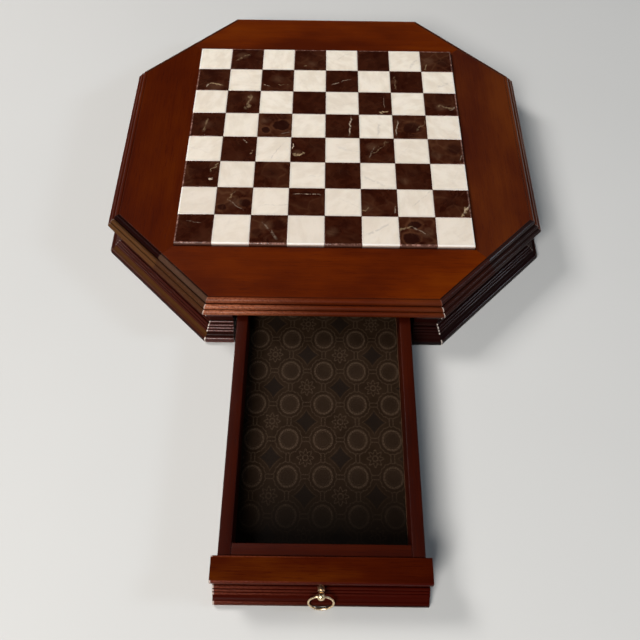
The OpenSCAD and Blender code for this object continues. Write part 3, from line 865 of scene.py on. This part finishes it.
def grimed(tree, colour, strength):
    """The colour darkened low on a square's side, where it comes out of the wood."""
    z = split(tree, mark(tree, "square", "Vector"))[2]
    low = ramp(tree, z, (WOOD_TOP + 1.3) * mm, (WOOD_TOP + 0.7) * mm, 0.0, strength)
    return mixed(tree, low, colour, (0.030, 0.0050, 0.0020))


def drawn_streak(tree, name, bend):
    """The mask of the streak whose two marks start with a name."""
    return use(tree, streak, Local=mark(tree, "square", "Vector"),
               Middle=mark(tree, name + "_middle", "Vector"),
               Form=mark(tree, name + "_form", "Vector"), Bend=bend)["Mask"]


onyx, tree, shader = finish_named(
    "white_onyx", IOR=1.5, Roughness=0.16, Specular_IOR_Level=0.35, Subsurface_Weight=0.10,
    Subsurface_Scale=0.003, Subsurface_Radius=(1.0, 0.8, 0.6))
place, lot = mark(tree, "rock", "Vector"), split(tree, mark(tree, "lot", "Vector"))
cloud = stretched_noise(tree, place, 0.6, 110.0, 4.0, 0.55)
fine = stretched_noise(tree, place, 0.45, 330.0, 4.0, 0.6)
far = edge_distance(tree)
colour = mixed(tree, ramp(tree, cloud, 0.32, 0.64), (0.80, 0.705, 0.58), (0.905, 0.82, 0.70))
for tint, mask, share in (
        ((0.60, 0.53, 0.46), ramp(tree, fine, 0.50, 0.72), 0.16),
        # lot[0]: greyer by chance, and with painted shade towards the front.
        ((0.625, 0.535, 0.46), lot[0], 0.5),
        ((0.43, 0.385, 0.35), drawn_streak(tree, "streak", 0.006), 0.55),
        ((0.50, 0.45, 0.42), ramp(tree, far, 0.0130, 0.0157), 0.35),
        ((0.40, 0.27, 0.22), ramp(tree, far, 0.01525, 0.0156), 0.6),
        # The board's outer arris is paler, a painted highlight.
        ((0.92, 0.86, 0.79), mark(tree, "bevel"), 0.8)):
    colour = tinted(tree, colour, tint, mask, share)
feed(tree, shader, Base_Color=grimed(tree, colour, 0.85))
print("finish:", onyx.name, "with", len(tree.nodes), "nodes")

# %% Red-brown marble
marble, tree, shader = finish_named("red_brown_marble", IOR=1.52, Specular_IOR_Level=0.32)
place, local = mark(tree, "rock", "Vector"), mark(tree, "square", "Vector")
veined = mark(tree, "veined")
bend = put(tree, "TexNoise", {"Vector": place, "Scale": 60.0, "Detail": 2.0}).outputs["Color"]
bend = put(tree, "VectorMath", {0: bend, "Scale": 0.016}, operation="SCALE").outputs[0]
bent = vector_sum(tree, "ADD", place, bend)
cells = put(tree, "TexVoronoi", {"Vector": bent, "Scale": 62.0}, feature="DISTANCE_TO_EDGE")
patchy = noise(tree, place, 42.0, 3.0)
cloud = noise(tree, bent, 95.0, 6.0, 0.62)
brushed = stretched_noise(tree, bent, 0.22, 260.0, 4.0, 0.6)
crisp = ramp(tree, veined, 0.35, 1.0)
colour = mixed(tree, ramp(tree, cloud, 0.34, 0.68), (0.020, 0.0029, 0.0009), (0.037, 0.0075, 0.0026))
colour = tinted(tree, colour, (0.062, 0.0190, 0.0080), ramp(tree, patchy, 0.40, 0.64),
                calc(tree, "MULTIPLY_ADD", veined, 0.75, 0.10))
colour = tinted(tree, colour, (0.080, 0.031, 0.0165), ramp(tree, brushed, 0.52, 0.74),
                calc(tree, "MULTIPLY_ADD", veined, 0.30, 0.14))
colour = tinted(tree, colour, (0.100, 0.041, 0.019), ramp(tree, cells.outputs["Distance"], 0.10, 0.0),
                ramp(tree, patchy, 0.36, 0.60), veined, 0.6)
for name in ("pebble_a", "pebble_b"):
    stone = use(tree, pebble, Local=local, Disc=mark(tree, name, "Vector"),
                Soft=calc(tree, "MULTIPLY_ADD", crisp, -0.55, 0.85))
    colour = tinted(tree, colour, (0.105, 0.040, 0.018), stone["Halo"],
                    ramp(tree, cloud, 0.35, 0.6), crisp, 0.5)
    colour = tinted(tree, colour, (0.0150, 0.0030, 0.0018), stone["Mask"],
                    calc(tree, "MULTIPLY_ADD", crisp, 0.5, 0.3))
glow = use(tree, pebble, Local=local, Disc=mark(tree, "patch", "Vector"), Soft=0.95)["Mask"]
worn = noise(tree, place, 230.0, 4.0, 0.7)
for tint, *masks in (
        ((0.105, 0.050, 0.027), glow, ramp(tree, brushed, 0.25, 0.65, 0.15, 0.55)),
        ((0.52, 0.37, 0.21), drawn_streak(tree, "streak_a", 0.010)),
        ((0.60, 0.47, 0.35), drawn_streak(tree, "streak_b", 0.005)),
        ((0.17, 0.085, 0.062), ramp(tree, edge_distance(tree), 0.01515, 0.0156), 0.55),
        # The board's outer arris is paler: a painted highlight, broken up by chipping.
        ((0.40, 0.21, 0.165), mark(tree, "bevel"), ramp(tree, worn, 0.42, 0.66, 0.12, 0.9))):
    colour = tinted(tree, colour, tint, *masks)
feed(tree, shader, Base_Color=grimed(tree, colour, 0.9),
     Roughness=ramp(tree, cloud, 0.3, 0.7, 0.10, 0.20))
print("finish:", marble.name, "with", len(tree.nodes), "nodes")

# %% Listed features
# For each dark square, counted from the far left corner: how veined it is, then pebbles and a pale
# patch (right of middle, up from middle, radius), then two streaks (middle, direction in degrees,
# half length, width, strength), all in millimetres.  A feature that is missing is ().
DARK = {
    (1, 0): (0.2, (), (), (-5, 5, 8), (-4, 2, 38, 10, 1.0, 0.25), ()),
    (3, 0): (0.4, (4, 6, 5), (), (2, -6, 7), (-5, -9, 10, 1.6, 0.8, 0.8), ()),
    (5, 0): (0.05, (), (), (), (), ()),
    (7, 0): (0.6, (6, -2, 8), (), (-9, 0, 9), (-11, -9, 80, 5, 0.9, 0.4), ()),
    (0, 1): (0.2, (-2, 9, 11), (), (2, -10, 11), (3, -7, -8, 8, 1.0, 0.95), (-5, -9, 60, 2.5, 0.7, 0.7)),
    (2, 1): (0.4, (), (), (0, 2, 9), (6, -6, 4, 6, 0.6, 0.55), (-10, -8, -14, 4, 0.6, 0.8)),
    (4, 1): (0.1, (), (), (), (), (-1, -1, 24, 12, 0.8, 0.42)),
    (6, 1): (0.1, (), (), (-12, 0, 6), (-11, -2, 88, 11, 0.9, 0.22), ()),
    (1, 2): (0.2, (-7, 2, 9), (), (6, 4, 9), (5, 0, 80, 12, 1.8, 0.30), ()),
    (5, 2): (0.1, (), (), (), (8, -12, 15, 5, 1.6, 0.9), (8, 2, 90, 9, 0.5, 0.25)),
    (7, 2): (0.3, (0, 9, 9), (), (0, -5, 8), (4, -4, -12, 9, 1.3, 0.30), (11, -6, 40, 3.5, 1.0, 0.45)),
    (0, 3): (0.1, (9, -3, 8), (), (-2, 0, 8), (-2, -1, 84, 10, 1.8, 0.28), ()),
    (2, 3): (0.95, (-8, -7, 5.0), (6, 0, 8.5), (-10, 6, 7), (), (10, -10, 20, 5, 0.8, 0.2)),
    (4, 3): (0.1, (), (), (), (), (7, 0, 84, 14, 1.0, 0.8)),
    (6, 3): (0.8, (2, -1, 10), (), (-12, 6, 5), (11, 2, 55, 10, 0.9, 0.30), (-12, -2, 82, 11, 0.9, 0.6)),
    (1, 4): (0.1, (), (), (), (11, -4, 75, 3, 1.4, 0.4), (5, 10, -50, 3.5, 0.8, 0.55)),
    (3, 4): (0.2, (6, 4, 10), (), (-9, -4, 6), (-8, -6, 20, 6, 1.8, 0.75), (-14, 4, 75, 4, 0.8, 0.9)),
    (5, 4): (0.5, (), (), (-4, 4, 8), (2, 3, 48, 13, 0.8, 0.22), (-5, -3, 68, 9, 0.6, 0.2)),
    (7, 4): (0.7, (7, 3, 9.5), (), (-9, -6, 8), (), (13, -8, 60, 4, 0.8, 0.3)),
    (0, 5): (0.4, (-4, 3, 9), (), (), (11, 8, 55, 7, 1.0, 0.5), (9, -6, 12, 2.4, 1.3, 1.0)),
    (2, 5): (0.5, (-2, 1, 10), (), (), (), ()),
    (4, 5): (0.1, (0, 4, 8), (), (), (), ()),
    (6, 5): (0.15, (0, 3, 9), (), (-8, -6, 7), (), ()),
    (1, 6): (0.85, (10, -2, 6), (-10, -8, 5), (1, -3, 9), (-3, 6, 60, 7, 0.9, 0.3), (2, -5, -40, 10, 1.0, 0.22)),
    (3, 6): (0.4, (-3, -3, 9), (), (), (), (0, 8.5, -2, 13, 0.7, 0.5)),
    (5, 6): (0.35, (), (), (-11, -7, 7), (-12, -8, 30, 4, 1.4, 0.35), (13, -8, 85, 5, 0.8, 0.35)),
    (7, 6): (0.5, (-2, 2, 9), (), (12, -10, 5), (10, -10, 60, 7, 1.6, 0.65), (12.5, -5, 62, 8, 0.7, 0.7)),
    (0, 7): (0.2, (), (), (), (), (-1, 7, -6, 7, 0.5, 0.25)),
    (2, 7): (0.6, (-10, -4, 6.5), (8, 5, 8), (-2, 4, 8), (), (1, -1, -55, 13, 1.2, 0.22)),
    (4, 7): (0.15, (2, 6, 10), (), (-10, -2, 8), (), ()),
    (6, 7): (0.95, (-2, 7, 6), (-6, -8, 8), (7, -2, 10), (-10, 3, 20, 7, 1.2, 0.35), (2, 0, -35, 8, 0.9, 0.3)),
}


def drawn_features(table):
    """Turn the table into arrays with one row per square; what isn't listed stays zero."""
    discs = ("pebble_a", "pebble_b", "patch")
    lines = [f"streak_{letter}_{what}" for letter in "ab" for what in ("middle", "form")]
    marks = {"veined": np.zeros(64)} | {name: np.zeros((64, 3)) for name in (*discs, *lines)}
    for (c, r), (veined, *features) in table.items():
        k = c * 8 + r
        marks["veined"][k] = veined
        for name, disc in zip(discs, features[:3]):
            marks[name][k] = np.array(disc or (0, 0, 0)) * mm
        for letter, line in zip("ab", features[3:]):
            x, y, angle, length, width, strength = line or (0,) * 6
            marks[f"streak_{letter}_middle"][k] = x * mm, y * mm, np.radians(angle)
            marks[f"streak_{letter}_form"][k] = length * mm, width * mm, strength
    return marks


def onyx_streaks():
    """One faint grey streak per white square, placed and turned by seeded chance."""
    middle = np.c_[rng.uniform(-8, 8, (64, 2)) * mm, np.radians(rng.normal(28, 35, 64))]
    form = np.c_[rng.uniform(8, 16, 64) * mm, rng.uniform(0.5, 2.4, 64) * mm, rng.uniform(0, 1, 64) ** 1.5]
    return {"streak_middle": middle, "streak_form": form}


light = (column + row) % 2 == 0
stone_squares("onyx_squares", light, onyx, "white_onyx", ["light_squares"], **onyx_streaks())
stone_squares("marble_squares", ~light, marble, "red_marble", ["dark_squares"], **drawn_features(DARK))

# %% [markdown]
# ## Paper liner
#
# A sheet of dark printed paper covers the drawer's floor.  Such papers have a repeating pattern of
# linked rings, flowers and stars.  The pattern is drawn in the material: the mesh carries a mark called
# `print` that counts repeats, so its whole numbers are the middles of the rings, and what is left after
# rounding is the place inside one repeat.

# %% Liner mesh
def liner_sheet():
    """A closed thin sheet on a grid. Its height is the paper's thickness plus a very shallow cockle,
    the sum of a few long waves, that dies away towards the edges."""
    nx, ny, half = 41, 81, WITHIN - 0.3
    x, y = np.linspace(-half, half, nx), np.linspace(FRONT + 9.3, FRONT + 250.7, ny)
    gx, gy = np.meshgrid(x, y, indexing="ij")
    u, v = gx / half, (gy - y[0]) / (y[-1] - y[0]) * 2 - 1
    wave = 0.5 + 0.25 * np.sin(gx / 17 + 1.1) * np.sin(gy / 29) + 0.25 * np.sin(gx / 41 + gy / 23 + 2)
    lift = 0.25 * wave * (1 - u ** 4) * (1 - v ** 6)
    points = np.stack([[gx, gy, 11.38 + lift], [gx, gy, np.full_like(gx, 11.02)]])
    points = np.moveaxis(points, 1, -1).reshape(-1, 3)
    n = np.arange(nx * ny).reshape(nx, ny)
    m = n + nx * ny
    rim = np.r_[n[:, 0], n[-1, 1:], n[-2::-1, -1], n[0, -2:0:-1]]
    after = np.roll(rim, -1)
    faces = [f for a, b, c, d in ((n[:-1, :-1], n[1:, :-1], n[1:, 1:], n[:-1, 1:]),
                                  (m[:-1, :-1], m[:-1, 1:], m[1:, 1:], m[1:, :-1]),
                                  (rim, rim + nx * ny, after + nx * ny, after))
             for f in np.stack([a, b, c, d], -1).reshape(-1, 4).tolist()]
    x, y = points[:, 0], points[:, 1]
    repeats = np.c_[(x - 0.4) / 26.0, (y + 193.6) / 29.5, np.zeros(len(x))]
    return lay("printed_liner", points * mm, faces, paper, "liner_paper", "drawer", ["drawer_liner"],
               print=repeats)


# %% Printed paper
def band(tree, value, middle, width):
    """1 where value is within width of middle, falling smoothly to 0 twice as far out."""
    return ramp(tree, calc(tree, "ABSOLUTE", calc(tree, "SUBTRACT", value, middle)), width * 2, width * 0.5)


def most(tree, *values):
    """The largest of several masks."""
    best = values[0]
    for value in values[1:]:
        best = calc(tree, "MAXIMUM", best, value)
    return best


def radius_angle(tree, x, y):
    """Distance and direction of a pair of values."""
    squares = calc(tree, "ADD", times(tree, x, x), times(tree, y, y))
    return calc(tree, "SQRT", squares), calc(tree, "ARCTAN2", y, x)


def wavy(tree, angle, count, size, length):
    """The length, grown by a wave that runs `count` times round a circle."""
    return calc(tree, "MULTIPLY_ADD", calc(tree, "COSINE", times(tree, angle, count)), size, length)


paper, tree, shader = finish_named("printed_paper", IOR=1.45, Specular_IOR_Level=0.06)
count = mark(tree, "print", "Vector")
parts = split(tree, count)
floors = [calc(tree, "FLOOR", v) for v in parts[:2]]
near = [calc(tree, "SUBTRACT", v, calc(tree, "ROUND", v)) for v in parts[:2]]
between = [calc(tree, "SUBTRACT", v, calc(tree, "ADD", f, 0.5)) for v, f in zip(parts[:2], floors)]
r, a = radius_angle(tree, *near)
q, b = radius_angle(tree, *between)
across, along, gap_x, gap_y = (calc(tree, "ABSOLUTE", v) for v in near + between)
rings = most(tree, band(tree, r, 0.265, 0.024),
             times(tree, band(tree, wavy(tree, a, 16.0, 0.010, r), 0.385, 0.013), 0.60),
             times(tree, band(tree, wavy(tree, a, 8.0, 0.012, r), 0.20, 0.012), 0.25))
links = most(tree, *(times(tree, band(tree, v, 0.055, 0.012), ramp(tree, gap, 0.13, 0.09))
                     for v, gap in ((along, gap_x), (across, gap_y))))
petals = band(tree, wavy(tree, b, 8.0, -0.045, q), 0.185, 0.020)
flower = most(tree, petals, band(tree, q, 0.075, 0.016))
sharp = calc(tree, "ADD", *(calc(tree, "POWER", v, 0.8) for v in (gap_x, gap_y)))
star, star_edge = ramp(tree, sharp, 0.43, 0.35), times(tree, band(tree, sharp, 0.44, 0.016), 0.4)
odd = calc(tree, "FRACT", times(tree, calc(tree, "ADD", *floors), 0.5))
odd = times(tree, odd, 2.0)
even = calc(tree, "SUBTRACT", 1.0, odd)
ink = most(tree, rings, times(tree, links, 0.7), times(tree, flower, odd, 0.75),
           times(tree, star_edge, even))
speckle = noise(tree, count, 34.0, 3.0, 0.75)
mottle = noise(tree, count, 2.2, 3.0)
ground = mixed(tree, ramp(tree, mottle, 0.3, 0.7), (0.0145, 0.0074, 0.0034), (0.0205, 0.0110, 0.0056))
# Painted shade: the paper darkens towards the drawer's front, broken up by the mottle.
soiled = calc(tree, "MULTIPLY_ADD", mottle, -0.9, parts[1])
for tint, *masks in (
        ((0.0300, 0.0185, 0.0125), ramp(tree, r, 0.25, 0.17), ramp(tree, speckle, 0.42, 0.62, 0.0, 0.45)),
        ((0.066, 0.0415, 0.0265), ink, ramp(tree, speckle, 0.42, 0.60, 0.15, 1.0)),
        ((0.0075, 0.0052, 0.0042), star, even, ramp(tree, speckle, 0.40, 0.65, 0.85, 0.35)),
        ((0.0022, 0.0010, 0.0003), ramp(tree, soiled, -3.7, -5.8, 0.0, 0.88))):
    ground = tinted(tree, ground, tint, *masks)
feed(tree, shader, Base_Color=ground, Roughness=ramp(tree, speckle, 0.3, 0.7, 0.5, 0.62))
relief_bump(tree, shader, speckle, 0.00004, 0.4)
liner_sheet()

# %% [markdown]
# ## Brass pull
#
# The pull is a small turned post with a ball at its end, and a wire ring hangs through the ball.  The
# shank, collar and waist are one outline turned round the post's axis.  The ball has a hole across it:
# its outer half circle and the straight bore together are one closed outline turned round the bore.

# %% Turned and bored pieces
def closed_grid(rows, columns):
    """Faces of a grid whose rows and columns both close on themselves."""
    n = np.arange(rows * columns).reshape(rows, columns)
    after = np.roll(n, -1, 0)
    return np.stack([n, after, np.roll(after, -1, 1), np.roll(n, -1, 1)], -1).reshape(-1, 4)


def turn_round(outline, axis, around=40):
    """Turn a closed (along, radius) outline round an axis: 'y' is out of the front, 'x' to the right."""
    t = np.linspace(0, 2 * np.pi, around, endpoint=False)
    along, radius = outline[:, 0], outline[:, 1]
    flat = np.stack([np.broadcast_to(along, (around, len(along))), np.outer(np.cos(t), radius),
                     np.outer(np.sin(t), radius)], -1)
    if axis == "y":
        flat = flat[..., [1, 0, 2]] * (1, -1, 1)
    return flat.reshape(-1, 3), closed_grid(around, len(along))


shank = loop((0.0, 0.05), (0.0, 2.15), (0.25, 2.2), (0.5, 1.8), (2.85, 1.75), (3.0, 1.95),
             arc(3.4, 2.1, 0.4, 180, 90, 5), arc(5.45, 2.1, 0.4, 90, 10, 5), (5.9, 1.75),
             (6.1, 1.68), (6.5, 1.6), (6.9, 1.75), (7.2, 1.75), (7.2, 0.05))
BALL, BORE = 2.9, 1.35
wide = (BALL ** 2 - BORE ** 2) ** 0.5
edge = np.degrees(np.arctan2(BORE, wide))
ball = loop(arc(0, 0, BALL, 180 - edge - 6, edge + 6, 15), (wide - 0.04, 1.42), (wide - 0.25, BORE),
            (-wide + 0.25, BORE), (-wide + 0.04, 1.42))
pull_foot = np.array([0, -388.0, 17.6])          # where the shank leaves the drawer front
ball_middle = pull_foot - (0, 9.15, 0)
post_points, post_faces = turn_round(shank, "y")
ball_points, ball_faces = turn_round(ball, "x")
print("post:", len(post_points), "points, ball:", len(ball_points))

# %% Old brass
brass, tree, shader = finish_named("old_brass", Metallic=1.0, IOR=1.5)
tarnish = noise(tree, own_place(tree), 600.0, 4.0, 0.6)
feed(tree, shader, Roughness=ramp(tree, tarnish, 0.35, 0.7, 0.26, 0.38),
     Base_Color=mixed(tree, ramp(tree, tarnish, 0.50, 0.74), (0.92, 0.71, 0.45), (0.50, 0.34, 0.15)))
relief_bump(tree, shader, noise(tree, own_place(tree), 2600.0, 2.0), 0.00003, 0.4)

lay("turned_post", np.vstack([post_points + pull_foot, ball_points + ball_middle]) * mm,
    np.vstack([post_faces, ball_faces + len(post_points)]).tolist(), brass, "brass", "drawer",
    ["pull_post"], crease=45)


def wire_ring(large=8.5, small=0.75, lean=-16):
    """A torus: a small circle carried round a large one, leaning out at its foot by some degrees."""
    t = np.linspace(0, 2 * np.pi, 96, endpoint=False)[:, None]
    s = np.linspace(0, 2 * np.pi, 14, endpoint=False)
    x = np.cos(t) * (large + small * np.cos(s))
    z = np.sin(t) * (large + small * np.cos(s)) - large
    y = np.broadcast_to(small * np.sin(s), x.shape)
    c, d = np.cos(np.radians(lean)), np.sin(np.radians(lean))
    points = np.stack([x, y * c - z * d, y * d + z * c], -1).reshape(-1, 3) + ball_middle
    faces = closed_grid(96, 14)[:, [0, 3, 2, 1]].tolist()
    return lay("wire_ring", points * mm, faces, brass, "brass", "ring", ["pull_ring"], crease=80)


wire_ring()

# %% [markdown]
# ## Inside and underneath
#
# Panels, glue strips, guides and screws keep the construction model's own shapes, because they are
# plain boards and fasteners.  They still need finishes.  These shapes carry no marks of ours, so their
# wood reads the object's own coordinates, turned so that the grain runs along each piece.

# %% Plain wood and steel for construction nodes
def plain_wood(name, dark, light, rough, turn=0.0, coat=0.0):
    """Wood on object coordinates, with the grain turned about the upright axis by some degrees."""
    made, tree, shader = finish_named(name, Coat_Weight=coat)
    where = put(tree, "Mapping", {"Vector": own_place(tree), "Rotation": (0, 0, np.radians(turn))})
    figure = use(tree, grain, Place=where.outputs[0], Clouds=0.8, Ribbons=0.8, Fibres=0.5, Pores=0.5)
    feed(tree, shader, Base_Color=mixed(tree, ramp(tree, figure["Tone"], 0.2, 0.8), dark, light),
         Roughness=ramp(tree, figure["Tone"], 0.2, 0.8, rough + 0.08, rough - 0.05))
    relief_bump(tree, shader, figure["Height"], 0.00008, 0.6)
    return made


RAW = ((0.20, 0.115, 0.055), (0.36, 0.235, 0.125), 0.62)
raw_along_x = plain_wood("raw_wood_along_x", *RAW)
raw_along_y = plain_wood("raw_wood_along_y", *RAW, turn=-90)
thin_panel = plain_wood("panel_wood", (0.15, 0.075, 0.035), (0.27, 0.15, 0.075), 0.55)
under_panel = plain_wood("underside_stain", (0.028, 0.008, 0.004), (0.058, 0.018, 0.008), 0.5, coat=0.1)

steel, tree, shader = finish_named("screw_steel", Metallic=1.0)
rust = noise(tree, own_place(tree), 700.0, 3.0)
feed(tree, shader, Roughness=ramp(tree, rust, 0.4, 0.7, 0.3, 0.6),
     Base_Color=mixed(tree, ramp(tree, rust, 0.45, 0.65), (0.42, 0.38, 0.30), (0.20, 0.14, 0.09)))

for node, finish in {"bed_panel": thin_panel, "slab_plate": thin_panel, "bottom_panel": under_panel,
                     "bottom_screws": steel, "top_cleats": raw_along_x, "drawer_guide_left": raw_along_y,
                     "drawer_guide_right": raw_along_y, "drawer_stop": raw_along_x, "drawer_bottom": thin_panel,
                     "drawer_front_screws": steel, "pull_screw": steel}.items():
    cad[node].data.materials.clear()
    cad[node].data.materials.append(finish)
print("plain finishes on", [n for n in cad if not cad[n].hide_render])

# %% [markdown]
# ## Floor, lamps and sky
#
# The object stands on a plain pale floor.  A large lamp in front on the left gives the drawer its
# shadows and the beads their bright lines.  Two weaker ones, left and right, fill the sides and draw
# a line along the slanted corners.  The sky is pale near the horizon and dark overhead, because the
# polished top mirrors what is high above it.

# %% Floor
def pale_floor(radius=4.0, rings=23, around=96):
    """A flat disc as rings of points round the middle. The lamps don't reach its far part, so there it
    takes on the horizon's own grey for the rays that a viewer, a mirror or a glass sees."""
    r = (np.arange(1, rings + 1) / rings) ** 2 * radius
    t = np.linspace(0, 2 * np.pi, around, endpoint=False)
    x, y = np.outer(r, np.cos(t)), np.outer(r, np.sin(t))
    n = np.arange(rings * around).reshape(rings, around)
    after = np.roll(n, -1, 1)
    faces = np.stack([n[:-1], n[1:], after[1:], after[:-1]], -1).reshape(-1, 4).tolist()
    mesh = bpy.data.meshes.new("pale_floor")
    mesh.from_pydata(np.stack([x, y, np.zeros_like(x)], -1).reshape(-1, 3), [], faces + [n[0].tolist()])
    floor = bpy.data.objects.new("pale_floor", mesh)
    bpy.context.scene.collection.objects.link(floor)
    made, tree, shader = finish_named("pale_floor", Roughness=0.9, Specular_IOR_Level=0.1)
    place = own_place(tree)
    blot = mixed(tree, noise(tree, place, 3.0, 3.0), (0.60, 0.595, 0.58), (0.66, 0.655, 0.64))
    feed(tree, shader, Base_Color=blot)
    ray = put(tree, "LightPath").outputs
    seen = calc(tree, "MAXIMUM", ray["Is Glossy Ray"], ray["Is Transmission Ray"])
    seen = calc(tree, "MAXIMUM", ray["Is Camera Ray"], seen)
    away = put(tree, "VectorMath", {0: place}, operation="LENGTH").outputs["Value"]
    haze = put(tree, "Emission", {"Color": (0.55, 0.55, 0.55, 1.0)}).outputs[0]
    share = times(tree, seen, ramp(tree, away, 0.75, 1.6))
    blend = put(tree, "MixShader", {0: share, 1: shader.outputs[0], 2: haze})
    tree.links.new(blend.outputs[0], tree.nodes["Material Output"].inputs["Surface"])
    mesh.materials.append(made)
    print("floor:", len(mesh.vertices), "points")


pale_floor()


# %% Lamps
def soft_lamp(name, place, target, size, power, colour):
    """A square area lamp that faces a target: the light's -Z axis is turned along the line to it."""
    lamp = bpy.data.lights.new(name, "AREA")
    lamp.shape, lamp.size, lamp.energy, lamp.color = "SQUARE", size, power, colour
    made = bpy.data.objects.new(name, lamp)
    bpy.context.scene.collection.objects.link(made)
    line = np.array(target, float) - np.array(place, float)
    flat = np.hypot(line[0], line[1])
    made.location = place
    made.rotation_euler = (np.arctan2(flat, -line[2]), 0.0, np.arctan2(-line[0], line[1]))
    print(name, "at", place, "power", power)
    return made


soft_lamp("front_left_lamp", (-0.65, -1.6, 1.45), (0, -0.1, 0), 0.8, 40.0, (1.0, 0.98, 0.95))
soft_lamp("left_lamp", (-1.5, 0.7, 1.7), (0, 0, 0), 0.7, 34.0, (1.0, 0.98, 0.96))
soft_lamp("right_lamp", (1.7, -0.2, 1.1), (0, 0, 0), 0.3, 7.0, (0.72, 0.86, 1.0))

# %% Sky
world = bpy.data.worlds.new("sky")
bpy.context.scene.world = world
world.use_nodes = True
tree = world.node_tree
tree.nodes.clear()
up = split(tree, put(tree, "TexCoord").outputs["Generated"])[2]
sky = mixed(tree, ramp(tree, up, 0.0, 0.30), (0.55, 0.55, 0.55), (0.02, 0.02, 0.022))
made = put(tree, "Background", {"Color": sky, "Strength": 1.0})
tree.links.new(made.outputs[0], put(tree, "OutputWorld").inputs["Surface"])
print("sky:", len(tree.nodes), "nodes")
